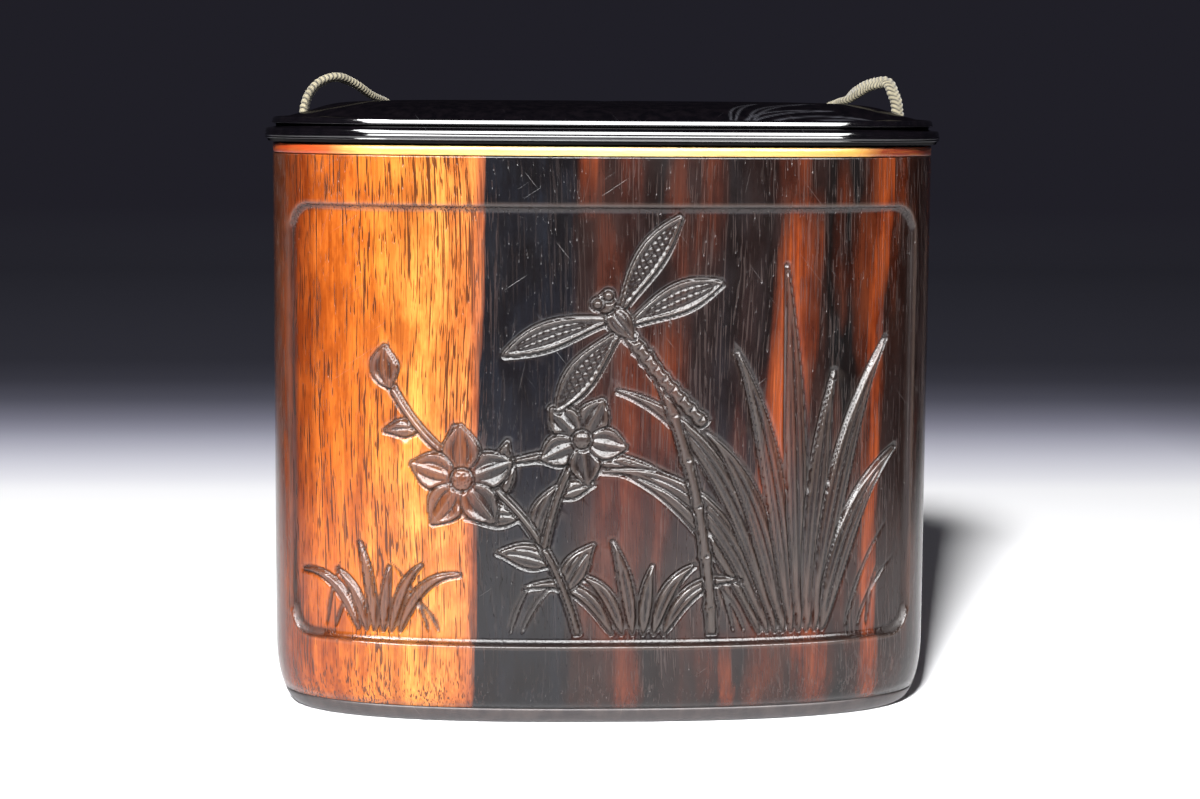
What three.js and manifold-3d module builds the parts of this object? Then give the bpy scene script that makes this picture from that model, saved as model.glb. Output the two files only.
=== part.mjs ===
// A one-compartment inro case: an oval box of striped hardwood with a sunk, carved front panel,
// a pale ring round its mouth, a dark base plate, a black domed lid that lifts off, and a flat
// braided cord whose two strands come out of the lid and run through a coral bead behind the case.
// Millimetres, +Z up, the front faces -Y. The origin is under the middle of the case.

import * as THREE from 'three';
import { mergeVertices } from 'three/addons/utils/BufferGeometryUtils.js';
import Module from 'manifold-3d';

const wasm = await Module();
wasm.setup();

// The case: its section is a superellipse, |x / half width|^power + |y / half depth|^power = 1
const caseHalfWidth = 45;
const caseHalfDepth = 20;
const sectionPower = 2.5;
const caseHeight = 76.9;
const wall = 3.5;
const endWall = 8.5;
const cavityFloor = 4;
const cavityPower = 3;
const footRoundWidth = 3;
const footRoundHeight = 9;

// Glued joints show a hairline, and the lid sits with a little play
const glueGap = 0.1;
const lidPlay = 0.4;
const lidSeatGap = 0.2;

// The ring let in round the mouth, and the plate underneath
const bandHeight = 1.3;
const bandWidth = 1.6;
const baseThickness = 2.2;

// The sunk front panel, measured round the wall from the middle of the front
const panelLeft = -45.2;
const panelRight = 44.1;
const panelBottom = 10.8;
const panelTop = 69.1;
const panelCorner = 4;
const panelDepth = 0.8;
const panelSlope = 1.3;

// The carving stands up from the panel's floor and stays just below the frame
const bladeRise = 0.6;
const petalRise = 0.7;
const carvingRoot = 0.7;
const plateTop = 0.84;
const groundLine = panelBottom + 1.6;

// Shallow strokes down the back, in place of an inscription
const strokeDepth = 0.5;
const strokeRows = 5;
const strokeLength = 6.5;
const strokeHalfWidth = 0.75;
const strokeSpacing = 3.1;
const strokeLean = 1.3;
const strokeRowPitch = 9.5;
const strokeTop = 58;

// The lid: sizes out from the case's outline and up from its own seat
const lidLip = 0.7;
const lidLipHeight = 0.3;
const lidRoll = 1.1;
const lidRollHeight = 1.2;
const lidGroove = -0.4;
const lidGrooveHeight = 0.6;
const lidBead = 0.2;
const lidBeadHeight = 0.6;
const domeInset = 0.6;
const domeRise = 2.95;
const domePower = 5;
const domeShoulder = 0.6;
const lidHollow = 1.2;
const flangeDepth = 3.5;
const flangeWidth = 2;
const saddleDepth = 0.6;
const saddleWidth = 3;

// The cord, its channels, and the bead and knot on it
const cordWidth = 1.7;
const cordThickness = 1.15;
const channelInset = 4.2;
const channelRadius = 1.8;
const lidHoleRadius = 1.6;
const cordGrooveDepth = 1.4;
const cordGrooveWidth = 2.6;
const cordRise = 0.75;
const heldCordReach = 2.4;
const beadRadius = 10;
const beadHalfThickness = 7.3;
const beadHoleRadius = 2.1;
const beadDimple = 1.6;
const beadTilt = 30;
const beadPlace = [2, 37];
const knotRadius = 2.4;

// How finely the curves are cut
const sectionSides = 48;
const holeSides = 16;
const foldSteps = 5;

const bodyBottom = baseThickness + glueGap;
const bandBottom = caseHeight - bandHeight;
const channelX = caseHalfWidth - channelInset;
const lidSeat = caseHeight + lidSeatGap;
const heldCordTop = lidSeat + heldCordReach;
const lidRollTop = lidSeat + lidLipHeight + lidRollHeight;
const lidBeadBottom = lidRollTop + lidGrooveHeight;
const domeEdge = lidBeadBottom + lidBeadHeight;

// A closed solid from vertices and triangles
function closedGeometry(points, faces) {
  const geometry = new THREE.BufferGeometry();
  geometry.setAttribute('position', new THREE.Float32BufferAttribute(points.flat(), 3));
  geometry.setIndex(faces.flat());
  return geometry;
}

function toManifold(geometry) {
  const bare = geometry.clone();
  bare.deleteAttribute('normal');
  bare.deleteAttribute('uv');
  const merged = mergeVertices(bare, 1e-4);
  return new wasm.Manifold(new wasm.Mesh({
    numProp: 3,
    vertProperties: new Float32Array(merged.attributes.position.array),
    triVerts: new Uint32Array(merged.index.array),
  }));
}

function fromManifold(solid) {
  const mesh = solid.getMesh();
  const geometry = new THREE.BufferGeometry();
  geometry.setAttribute('position', new THREE.BufferAttribute(mesh.vertProperties, 3));
  geometry.setIndex(new THREE.BufferAttribute(mesh.triVerts, 1));
  return geometry;
}

function subtractAll(solid, cutters) {
  return cutters.reduce((rest, cutter) => rest.subtract(toManifold(cutter)), solid);
}

function addAll(solid, pieces) {
  return pieces.reduce((whole, piece) => whole.add(toManifold(piece)), solid);
}

// One point of a superellipse, where turn runs from 0 to 2 pi
function ovalPoint(halfWidth, halfDepth, power, turn) {
  const c = Math.cos(turn);
  const s = Math.sin(turn);
  return [
    halfWidth * Math.sign(c) * Math.abs(c) ** (2 / power),
    halfDepth * Math.sign(s) * Math.abs(s) ** (2 / power),
  ];
}

// A ring of the section's own shape, set in from the case's outline
function caseRing(inset, z) {
  return { halfWidth: caseHalfWidth - inset, halfDepth: caseHalfDepth - inset, power: sectionPower, z };
}

function cavityRing(inset, z) {
  return {
    halfWidth: caseHalfWidth - endWall - inset,
    halfDepth: caseHalfDepth - wall - inset,
    power: cavityPower,
    z,
  };
}

// An oval solid lofted through rings from its underside to its top, each end closed by a fan.
// lift gives a vertex its height where that changes round the ring.
function ovalSolid(rings, lift = (x, y, z) => z) {
  const points = [[0, 0, rings[0].z]];
  const faces = [];
  for (const ring of rings) {
    for (let side = 0; side < sectionSides; side++) {
      const turn = 2 * Math.PI * side / sectionSides;
      const [x, y] = ovalPoint(ring.halfWidth, ring.halfDepth, ring.power, turn);
      points.push([x, y, ring.lifted ? lift(x, y, ring.z) : ring.z]);
    }
  }
  const last = rings[rings.length - 1];
  points.push([0, 0, last.lifted ? lift(0, 0, last.z) : last.z]);
  const top = points.length - 1;
  const vertex = (ring, side) => 1 + ring * sectionSides + side % sectionSides;
  for (let side = 0; side < sectionSides; side++) {
    faces.push([0, vertex(0, side + 1), vertex(0, side)]);
    for (let ring = 0; ring + 1 < rings.length; ring++) {
      faces.push([vertex(ring, side), vertex(ring, side + 1), vertex(ring + 1, side + 1)]);
      faces.push([vertex(ring, side), vertex(ring + 1, side + 1), vertex(ring + 1, side)]);
    }
    faces.push([top, vertex(rings.length - 1, side), vertex(rings.length - 1, side + 1)]);
  }
  return closedGeometry(points, faces);
}

// How far the rounded lower edge has come in at a height: a quarter of an ellipse
function footInset(z) {
  const below = Math.max(0, footRoundHeight - z) / footRoundHeight;
  return footRoundWidth * (1 - Math.sqrt(1 - below * below));
}

function uprightCylinder(radius, x, bottom, top) {
  const geometry = new THREE.CylinderGeometry(radius, radius, top - bottom, holeSides);
  geometry.rotateX(Math.PI / 2);
  geometry.translate(x, 0, (bottom + top) / 2);
  return geometry;
}

// Distance round the wall, from the middle of a face to each point of a quarter of the section
const quarter = { along: [0], x: [0], y: [caseHalfDepth] };
const quarterSteps = 900;
for (let step = 1; step <= quarterSteps; step++) {
  const turn = Math.PI / 2 * (1 - step / quarterSteps);
  const [x, y] = ovalPoint(caseHalfWidth, caseHalfDepth, sectionPower, turn);
  const last = step - 1;
  quarter.along.push(quarter.along[last] + Math.hypot(x - quarter.x[last], y - quarter.y[last]));
  quarter.x.push(x);
  quarter.y.push(y);
}

// A point at a distance round the wall, at a height, raised from the wall or sunk into it.
// face is -1 at the front and 1 at the back; distances grow to the right of whoever faces it.
function wallPoint(along, z, raise, face) {
  const reach = Math.abs(along);
  let step = 1;
  while (step < quarterSteps && quarter.along[step] < reach) step += 1;
  const share = (reach - quarter.along[step - 1]) / (quarter.along[step] - quarter.along[step - 1]);
  const x = THREE.MathUtils.lerp(quarter.x[step - 1], quarter.x[step], share);
  const y = THREE.MathUtils.lerp(quarter.y[step - 1], quarter.y[step], share);
  const slopeX = x ** (sectionPower - 1) / caseHalfWidth ** sectionPower;
  const slopeY = y ** (sectionPower - 1) / caseHalfDepth ** sectionPower;
  const steep = Math.hypot(slopeX, slopeY);
  const side = -face * Math.sign(along);
  return [side * (x + raise * slopeX / steep), face * (y + raise * slopeY / steep), z];
}

// A solid drawn flat, as distance round the wall, height and rise, is bent onto the wall
function ontoWall(flat, face) {
  const bent = flat.clone();
  const place = bent.attributes.position;
  for (let index = 0; index < place.count; index++) {
    place.setXYZ(index, ...wallPoint(place.getX(index), place.getY(index), place.getZ(index), face));
  }
  return bent;
}

// The cutter for the sunk panel: a rounded rectangle in columns, smaller at the floor than
// at the wall's surface, so that its edge slopes.
function panelCutter() {
  const cornerSteps = 4;
  const middleSteps = 22;
  const levels = [
    { inset: panelSlope, raise: -panelDepth },
    { inset: 0, raise: 0 },
    { inset: -panelSlope, raise: panelDepth },
  ];
  const columns = [];
  for (let step = 0; step <= cornerSteps; step++) {
    columns.push({ turn: Math.PI / 2 * step / cornerSteps, share: 0 });
  }
  for (let step = 1; step <= middleSteps; step++) {
    columns.push({ turn: Math.PI / 2, share: step / middleSteps });
  }
  for (let step = 1; step <= cornerSteps; step++) {
    columns.push({ turn: Math.PI / 2 * (1 + step / cornerSteps), share: 1 });
  }
  const points = [];
  for (const { inset, raise } of levels) {
    const radius = Math.max(panelCorner - inset, 0.5);
    const left = panelLeft + inset + radius;
    const right = panelRight - inset - radius;
    for (const { turn, share } of columns) {
      const along = THREE.MathUtils.lerp(left, right, share) - radius * Math.cos(turn);
      const rounding = radius * (1 - Math.sin(turn));
      points.push([along, panelBottom + inset + rounding, raise]);
      points.push([along, panelTop - inset - rounding, raise]);
    }
  }
  const count = columns.length;
  const low = (level, column) => 2 * (level * count + column);
  const high = (level, column) => low(level, column) + 1;
  const faces = [];
  const quad = (a, b, c, d) => faces.push([a, b, c], [a, c, d]);
  const outer = levels.length - 1;
  for (let column = 0; column + 1 < count; column++) {
    quad(low(0, column), high(0, column), high(0, column + 1), low(0, column + 1));
    quad(low(outer, column), low(outer, column + 1), high(outer, column + 1), high(outer, column));
    const next = column + 1;
    for (let level = 0; level < outer; level++) {
      const above = level + 1;
      quad(low(level, column), low(level, next), low(above, next), low(above, column));
      quad(high(level, column), high(above, column), high(above, next), high(level, next));
    }
  }
  for (let level = 0; level < outer; level++) {
    quad(low(level, 0), low(level + 1, 0), high(level + 1, 0), high(level, 0));
    const end = count - 1;
    quad(low(level, end), high(level, end), high(level + 1, end), low(level + 1, end));
  }
  return ontoWall(closedGeometry(points, faces), -1);
}

// A bar along a flat curve, with a sharp crest or, where flatTop is a share of its width, a flat
// one. width and crest say how its half width and its crest change from 0 to 1 along the curve;
// foot is the height of its two edges.
function wedge(curve, steps, width, crest, foot, flatTop = 0) {
  const points = [];
  const faces = [];
  const upward = crest(0.5) > foot;
  const crests = flatTop ? [[-flatTop, 1], [flatTop, 1]] : [[0, 1]];
  const section = [[1, 0], [-1, 0], ...crests];
  const corners = section.length;
  for (let step = 0; step <= steps; step++) {
    const share = step / steps;
    const centre = curve.getPoint(share);
    const way = curve.getTangent(share);
    for (const [aside, height] of section) {
      const half = width(share) * (upward ? aside : -aside);
      const rise = THREE.MathUtils.lerp(foot, crest(share), height);
      points.push([centre.x + way.y * half, centre.y - way.x * half, rise]);
    }
  }
  for (let step = 0; step < steps; step++) {
    for (let corner = 0; corner < corners; corner++) {
      const near = corners * step + corner;
      const next = corners * step + (corner + 1) % corners;
      faces.push([near, next, next + corners], [near, next + corners, near + corners]);
    }
  }
  const end = corners * steps;
  for (let corner = 1; corner + 1 < corners; corner++) {
    faces.push([0, corner + 1, corner], [end, end + corner, end + corner + 1]);
  }
  return closedGeometry(points, faces);
}

const panelFloor = -panelDepth;
const rootFoot = panelFloor - carvingRoot;

// A petal or wing: a raised plate with steep sides, pointed at both ends, widest at a share of
// its length
function plate(from, bend, to, halfWidth, rise, widest, steps) {
  const curve = new THREE.QuadraticBezierCurve(
    new THREE.Vector2(...from), new THREE.Vector2(...bend), new THREE.Vector2(...to));
  const fullness = (share) => Math.sin(Math.PI * share ** (Math.log(0.5) / Math.log(widest)));
  const width = (share) => 0.2 + halfWidth * fullness(share);
  const crest = () => panelFloor + rise;
  return wedge(curve, steps, width, crest, rootFoot, plateTop);
}

// A blade of grass or a leaf: a ridge pointed at both ends
function leaf(from, bend, to, halfWidth, rise, widest = 0.4, steps = foldSteps) {
  const curve = new THREE.QuadraticBezierCurve(
    new THREE.Vector2(...from), new THREE.Vector2(...bend), new THREE.Vector2(...to));
  const fullness = (share) => Math.sin(Math.PI * share ** (Math.log(0.5) / Math.log(widest)));
  const width = (share) => 0.15 + halfWidth * fullness(share) * (rise + carvingRoot) / rise;
  const crest = (share) => panelFloor + rise * (0.3 + 0.7 * fullness(share));
  return wedge(curve, steps, width, crest, rootFoot);
}

function stem(from, bend, to, halfWidth) {
  const curve = new THREE.QuadraticBezierCurve(
    new THREE.Vector2(...from), new THREE.Vector2(...bend), new THREE.Vector2(...to));
  const rise = bladeRise;
  const width = () => halfWidth * (rise + carvingRoot) / rise;
  return wedge(curve, foldSteps, width, () => panelFloor + rise, rootFoot);
}

// A tuft of grass: blades fan out from one root, and lean, droop and differ in length by turns
function tuft({ root, blades, reach, leanFrom, leanTo, spread, droop, halfWidth }) {
  const made = [];
  for (let blade = 0; blade < blades; blade++) {
    const share = blade / (blades - 1);
    const lean = THREE.MathUtils.degToRad(THREE.MathUtils.lerp(leanFrom, leanTo, share));
    const length = reach * (1 - 0.42 * ((blade * 0.618) % 1));
    const foot = [root[0] + spread * (share - 0.5), root[1]];
    const bend = [
      foot[0] + 0.62 * length * Math.sin(0.45 * lean),
      foot[1] + 0.62 * length * Math.cos(0.45 * lean),
    ];
    const tip = [
      foot[0] + length * Math.sin(lean),
      foot[1] + length * (Math.cos(lean) - droop * Math.abs(Math.sin(lean))),
    ];
    made.push(leaf(foot, bend, tip, halfWidth, bladeRise, 0.36));
  }
  return made;
}

// A low boss, such as the heart of a flower or an insect's head
function boss(centre, radius, rise) {
  const sides = 8;
  const points = [[centre[0], centre[1], rootFoot], [centre[0], centre[1], panelFloor + rise]];
  const faces = [];
  const rings = [[1, rootFoot], [1, panelFloor + 0.3 * rise], [0.62, panelFloor + 0.85 * rise]];
  for (const [size, height] of rings) {
    for (let side = 0; side < sides; side++) {
      const turn = 2 * Math.PI * side / sides;
      points.push([
        centre[0] + radius * size * Math.cos(turn),
        centre[1] + radius * size * Math.sin(turn),
        height,
      ]);
    }
  }
  const vertex = (ring, side) => 2 + ring * sides + side % sides;
  for (let side = 0; side < sides; side++) {
    faces.push([0, vertex(0, side + 1), vertex(0, side)]);
    for (let ring = 0; ring < 2; ring++) {
      faces.push([vertex(ring, side), vertex(ring, side + 1), vertex(ring + 1, side + 1)]);
      faces.push([vertex(ring, side), vertex(ring + 1, side + 1), vertex(ring + 1, side)]);
    }
    faces.push([1, vertex(2, side), vertex(2, side + 1)]);
  }
  return closedGeometry(points, faces);
}

// A bellflower seen from the front: five broad pointed petals round a small heart
function bellflower(centre, radius, turned) {
  const made = [boss(centre, 0.2 * radius, petalRise)];
  for (let petal = 0; petal < 5; petal++) {
    const turn = THREE.MathUtils.degToRad(turned + 72 * petal);
    const way = [Math.cos(turn), Math.sin(turn)];
    const at = (reach) => [centre[0] + reach * radius * way[0], centre[1] + reach * radius * way[1]];
    made.push(plate(at(0.1), at(0.55), at(1), 0.31 * radius, petalRise, 0.48, 4));
  }
  return made;
}

// A stem with leaves in turn on its two sides
function leafyStem(from, bend, to, leaves, leafLength) {
  const made = [stem(from, bend, to, 0.35)];
  const curve = new THREE.QuadraticBezierCurve(
    new THREE.Vector2(...from), new THREE.Vector2(...bend), new THREE.Vector2(...to));
  for (let index = 0; index < leaves; index++) {
    const share = 0.12 + 0.72 * (index + 0.5) / leaves;
    const centre = curve.getPoint(share);
    const way = curve.getTangent(share);
    const side = index % 2 ? 1 : -1;
    const heading = Math.atan2(way.y, way.x) + side * THREE.MathUtils.degToRad(52);
    const at = (reach, off) => [
      centre.x + leafLength * (reach * Math.cos(heading) - off * Math.sin(heading)),
      centre.y + leafLength * (reach * Math.sin(heading) + off * Math.cos(heading)),
    ];
    made.push(leaf(at(0, 0), at(0.5, -0.12 * side), at(1, 0), 0.2 * leafLength, bladeRise, 0.42, 5));
  }
  return made;
}

// A dragonfly at rest: a long tail, a thorax, a head and four open wings
function dragonfly(centre, heading, size) {
  const turn = THREE.MathUtils.degToRad(heading);
  const at = (reach, off) => [
    centre[0] + size * (reach * Math.cos(turn) - off * Math.sin(turn)),
    centre[1] + size * (reach * Math.sin(turn) + off * Math.cos(turn)),
  ];
  const made = [
    leaf(at(0.02, 0), at(-0.5, 0.03), at(-1.05, -0.04), 0.055 * size, petalRise, 0.3),
    leaf(at(0.3, 0), at(0.12, 0), at(-0.08, 0), 0.1 * size, petalRise, 0.45),
    boss(at(0.33, 0), 0.085 * size, petalRise),
  ];
  for (const side of [-1, 1]) {
    const foreTip = at(0.52, 0.98 * side);
    const hindTip = at(-0.16, 0.92 * side);
    made.push(plate(at(0.16, 0), at(0.42, 0.45 * side), foreTip, 0.1 * size, bladeRise, 0.6, 4));
    made.push(plate(at(0.06, 0), at(0.02, 0.48 * side), hindTip, 0.11 * size, bladeRise, 0.6, 4));
  }
  return made;
}

// The front's carving: a leaning reed with a dragonfly, bellflowers and tufts of grass
function frontCarving() {
  return [
    ...tuft({
      root: [25, groundLine], blades: 9, reach: 52, leanFrom: -44, leanTo: 22,
      spread: 9, droop: 0.42, halfWidth: 1.35,
    }),
    ...tuft({
      root: [4, groundLine], blades: 6, reach: 15, leanFrom: -50, leanTo: 46,
      spread: 7, droop: 0.3, halfWidth: 0.75,
    }),
    ...tuft({
      root: [-31, groundLine], blades: 6, reach: 12, leanFrom: -48, leanTo: 40,
      spread: 8, droop: 0.3, halfWidth: 0.6,
    }),
    stem([14, groundLine], [13, 34], [5, 50], 0.55),
    ...dragonfly([2.5, 52.5], 128, 15),
    ...leafyStem([-4, groundLine], [-8, 28], [-18.5, 34], 5, 7.5),
    ...leafyStem([-8.5, 24], [-7, 32], [-4, 36.5], 1, 5),
    ...leafyStem([-15, 32.6], [-24, 36], [-29, 45], 2, 5),
    ...bellflower([-19.5, 33], 7.2, 20),
    ...bellflower([-3.6, 38.4], 6, 62),
    leaf([-29.2, 45], [-30.6, 47.5], [-30, 50.5], 1.7, petalRise, 0.5, 5),
  ];
}

// Rows of plain strokes down the back: three short slanted cuts in each, leaning by turns
function backStrokes() {
  const cuts = [];
  for (let row = 0; row < strokeRows; row++) {
    const middle = strokeTop - row * strokeRowPitch;
    const lean = row % 2 ? -strokeLean : strokeLean;
    for (const place of [-1, 0, 1]) {
      const centre = [place * strokeSpacing, middle - place * lean / 2];
      const half = strokeLength / 2 * (1 - 0.2 * Math.abs(place));
      const line = new THREE.LineCurve(
        new THREE.Vector2(centre[0] + lean, centre[1] + half),
        new THREE.Vector2(centre[0] - lean, centre[1] - half));
      const width = (share) => 0.15 + strokeHalfWidth * (1 - 0.7 * share);
      cuts.push(wedge(line, 2, width, () => -strokeDepth, strokeDepth / 2));
    }
  }
  return cuts;
}

function shapeCaseBody() {
  const footRings = [0, 0.42, 1].map((share) => {
    const z = THREE.MathUtils.lerp(bodyBottom, footRoundHeight, share);
    return caseRing(footInset(z), z);
  });
  const stepInset = bandWidth + glueGap;
  const stepHeight = bandBottom - glueGap;
  const solid = toManifold(ovalSolid([
    ...footRings,
    caseRing(0, stepHeight),
    caseRing(stepInset, stepHeight),
    caseRing(stepInset, caseHeight),
    cavityRing(0, caseHeight),
    cavityRing(0, bodyBottom + cavityFloor + 2),
    cavityRing(2, bodyBottom + cavityFloor),
  ]));
  const channels = [-channelX, channelX].map((x) => uprightCylinder(channelRadius, x, 0, caseHeight + 1));
  const sunk = subtractAll(solid, [panelCutter(), ...channels]);
  const carved = addAll(sunk, frontCarving().map((form) => ontoWall(form, -1)));
  return fromManifold(subtractAll(carved, backStrokes().map((form) => ontoWall(form, 1))));
}

function shapeRimBand() {
  const outer = toManifold(ovalSolid([caseRing(0, bandBottom), caseRing(0, caseHeight)]));
  const hole = ovalSolid([caseRing(bandWidth, bandBottom - 1), caseRing(bandWidth, caseHeight + 1)]);
  return fromManifold(subtractAll(outer, [hole]));
}

function shapeBasePlate() {
  const rings = [0, 0.2, 0.55, 1].map((share) => {
    const z = share * baseThickness;
    return caseRing(footInset(z), z);
  });
  const plate = toManifold(ovalSolid(rings));
  const groove = new THREE.BoxGeometry(2 * channelX, cordGrooveWidth, 2 * cordGrooveDepth);
  const holes = [-channelX, channelX].map((x) => uprightCylinder(channelRadius, x, -1, baseThickness + 1));
  return fromManifold(subtractAll(plate, [groove, ...holes]));
}

// The dome's height at a place: a flat-topped crown that falls to its edge, with a low
// saddle across each end where the cord comes out.
function domeHeight(x, y) {
  const across = Math.abs(x) / (caseHalfWidth - domeInset);
  const deep = Math.abs(y) / (caseHalfDepth - domeInset);
  const out = Math.min(1, (across ** sectionPower + deep ** sectionPower) ** (1 / sectionPower));
  const crown = domeRise * (1 - out ** domePower) ** domeShoulder;
  const saddle = saddleDepth * Math.exp(-(((Math.abs(x) - channelX) / saddleWidth) ** 2));
  return domeEdge + crown - saddle * Math.min(1, crown);
}

function shapeLid() {
  const ceiling = lidSeat + lidHollow;
  const domeRings = [1, 0.985, 0.955, 0.91, 0.86, 0.79, 0.66].map((share) => ({
    halfWidth: share * (caseHalfWidth - domeInset),
    halfDepth: share * (caseHalfDepth - domeInset),
    power: sectionPower,
    z: 0,
    lifted: true,
  }));
  const lipTop = lidSeat + lidLipHeight;
  const solid = toManifold(ovalSolid([
    cavityRing(lidPlay + flangeWidth, ceiling),
    cavityRing(lidPlay + flangeWidth, lidSeat - flangeDepth),
    cavityRing(lidPlay, lidSeat - flangeDepth),
    cavityRing(lidPlay, lidSeat),
    caseRing(-lidLip, lidSeat),
    caseRing(-lidLip, lipTop),
    caseRing(-lidRoll, lipTop + 0.3 * lidRollHeight),
    caseRing(-lidRoll, lipTop + 0.8 * lidRollHeight),
    caseRing(-lidGroove, lidRollTop),
    caseRing(-lidGroove, lidBeadBottom),
    caseRing(-lidBead, lidBeadBottom + 0.2 * lidBeadHeight),
    caseRing(-lidBead, lidBeadBottom + 0.73 * lidBeadHeight),
    ...domeRings,
  ], domeHeight));
  const holes = [-channelX, channelX].map((x) => uprightCylinder(lidHoleRadius, x, lidSeat - 1, lidSeat + 8));
  return fromManifold(subtractAll(solid, holes));
}

// A plain tube of eight sides along a curve, as wide and as thick as is asked
function cordTube(curve, steps, width, thickness) {
  const section = new THREE.Shape();
  for (let side = 0; side < 8; side++) {
    const turn = Math.PI / 8 + Math.PI / 4 * side;
    const corner = [thickness / 2 * Math.cos(turn), width / 2 * Math.sin(turn)];
    if (side === 0) section.moveTo(...corner);
    else section.lineTo(...corner);
  }
  section.closePath();
  return new THREE.ExtrudeGeometry(section, { steps, extrudePath: curve, curveSegments: 1 });
}

// The held stretch: down one channel, across the groove underneath and up the other
function shapeHeldCord() {
  const radius = cordThickness / 2;
  const bottom = cordRise - radius;
  const rod = (length) => new THREE.CylinderGeometry(radius, radius, length, 8);
  const across = rod(2 * channelX).rotateY(Math.PI / 8).rotateZ(Math.PI / 2).translate(0, 0, cordRise);
  const upright = [-channelX, channelX].map((x) => rod(heldCordTop - bottom)
    .rotateX(Math.PI / 2).translate(x, 0, (heldCordTop + bottom) / 2));
  return fromManifold(addAll(toManifold(across), upright));
}

// The two free strands: out of the lid, in an arc over its back edge, down to the bead
const leftStrand = [
  [-40.8, 0, 79.8], [-40.9, 0, 81.5], [-40.5, 0.2, 83.2], [-39.6, 0.8, 84.7], [-38.5, 1.6, 85.5],
  [-37.2, 2.7, 86], [-34.9, 4.8, 85.7], [-33.8, 6.2, 85.1], [-31.9, 8.9, 83.7], [-30.6, 11.6, 82.9],
  [-29.9, 14.4, 82.3], [-29.6, 17.1, 81.2], [-29.5, 18.9, 78.4], [-29.3, 19.3, 73], [-28.8, 19.7, 63],
  [-27.6, 20.2, 53], [-25.4, 21.1, 43.6], [-21.8, 22.2, 34.4], [-16.8, 23.8, 26], [-10.8, 25.8, 19.6],
  [-4.4, 28, 15.6],
];
const rightStrand = [
  [40.8, 0, 79.8], [40.6, 0, 81.4], [40.4, 0.1, 82.9], [40, 0.4, 84], [39.7, 0.9, 85],
  [39.2, 1.6, 85.4], [38.2, 2.9, 85.1], [36.9, 4.5, 84.7], [35.7, 6.1, 84.1], [34.2, 8.8, 83.2],
  [33.1, 11.8, 82.7], [32.3, 14.4, 82.2], [31.8, 16.9, 81], [31.6, 18.5, 78], [31.3, 19, 72],
  [30.8, 19.5, 62], [29.6, 20.2, 52], [27.4, 21.1, 42.6], [24, 22.3, 33.6], [19.4, 23.9, 25.8],
  [14, 25.9, 19.8], [8.4, 28, 15.9],
];

const tilt = THREE.MathUtils.degToRad(beadTilt);
const beadAxis = new THREE.Vector3(0, Math.cos(tilt), -Math.sin(tilt));
const beadCentre = new THREE.Vector3(
  ...beadPlace,
  Math.hypot(beadRadius * Math.cos(tilt), beadHalfThickness * Math.sin(tilt)),
);

function alongBead(reach, aside) {
  return beadCentre.clone().addScaledVector(beadAxis, reach).add(new THREE.Vector3(aside, 0, 0));
}

function shapeStrand(points, side) {
  const aside = 0.56 * cordWidth * side;
  const route = new THREE.CatmullRomCurve3([
    ...points.map((point) => new THREE.Vector3(...point)),
    alongBead(-beadHalfThickness - 1.5, 1.2 * aside),
    alongBead(-0.5 * beadHalfThickness, aside),
    alongBead(0.6 * beadHalfThickness, aside),
    alongBead(beadHalfThickness + 0.2, aside),
  ], false, 'centripetal');
  const roundSize = (cordWidth + cordThickness) / 2;
  return cordTube(route, 38, roundSize, roundSize);
}

// The bead: a flattened ball turned about its hole, dimpled where the cord goes in and out
function shapeBead() {
  const profile = [];
  const arcSteps = 8;
  const brim = beadHoleRadius + beadDimple;
  const brimTurn = Math.asin(brim / beadRadius);
  for (let step = 0; step <= arcSteps; step++) {
    const turn = THREE.MathUtils.lerp(brimTurn, Math.PI - brimTurn, step / arcSteps);
    profile.push(new THREE.Vector2(beadRadius * Math.sin(turn), -beadHalfThickness * Math.cos(turn)));
  }
  const throat = beadHalfThickness * Math.cos(brimTurn) - beadDimple;
  profile.push(new THREE.Vector2(beadHoleRadius, throat), new THREE.Vector2(beadHoleRadius, -throat));
  profile.push(profile[0].clone());
  const geometry = new THREE.LatheGeometry(profile, 20);
  geometry.rotateX(-tilt);
  geometry.computeBoundingBox();
  geometry.translate(beadPlace[0], beadPlace[1], -geometry.boundingBox.min.z);
  return geometry;
}

function shapeKnot() {
  const geometry = new THREE.SphereGeometry(knotRadius, 10, 6);
  geometry.scale(1.1, 1, 0.9);
  const place = alongBead(beadHalfThickness + 0.5 + knotRadius, 0);
  geometry.translate(place.x, place.y, place.z);
  return geometry;
}

const finishes = {
  stripedWood: { color: 0x5a2f16, roughness: 0.35, metalness: 0 },
  paleWood: { color: 0xd9a03a, roughness: 0.35, metalness: 0 },
  darkWood: { color: 0x221a18, roughness: 0.4, metalness: 0 },
  blackLid: { color: 0x0d0b0e, roughness: 0.18, metalness: 0 },
  braid: { color: 0x6f6a52, roughness: 0.85, metalness: 0 },
  coral: { color: 0xd8342a, roughness: 0.2, metalness: 0 },
};

const inroCase = new THREE.Group();

function addPiece(name, geometry, finish) {
  const mesh = new THREE.Mesh(geometry, new THREE.MeshStandardMaterial(finishes[finish]));
  mesh.name = name;
  inroCase.add(mesh);
}

addPiece('case_body', shapeCaseBody(), 'stripedWood');
addPiece('rim_band', shapeRimBand(), 'paleWood');
addPiece('base_plate', shapeBasePlate(), 'darkWood');
addPiece('lid', shapeLid(), 'blackLid');
addPiece('cord_held', shapeHeldCord(), 'braid');
addPiece('cord_left', shapeStrand(leftStrand, -1), 'braid');
addPiece('cord_right', shapeStrand(rightStrand, 1), 'braid');
addPiece('bead', shapeBead(), 'coral');
addPiece('cord_knot', shapeKnot(), 'braid');

export default inroCase;
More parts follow.
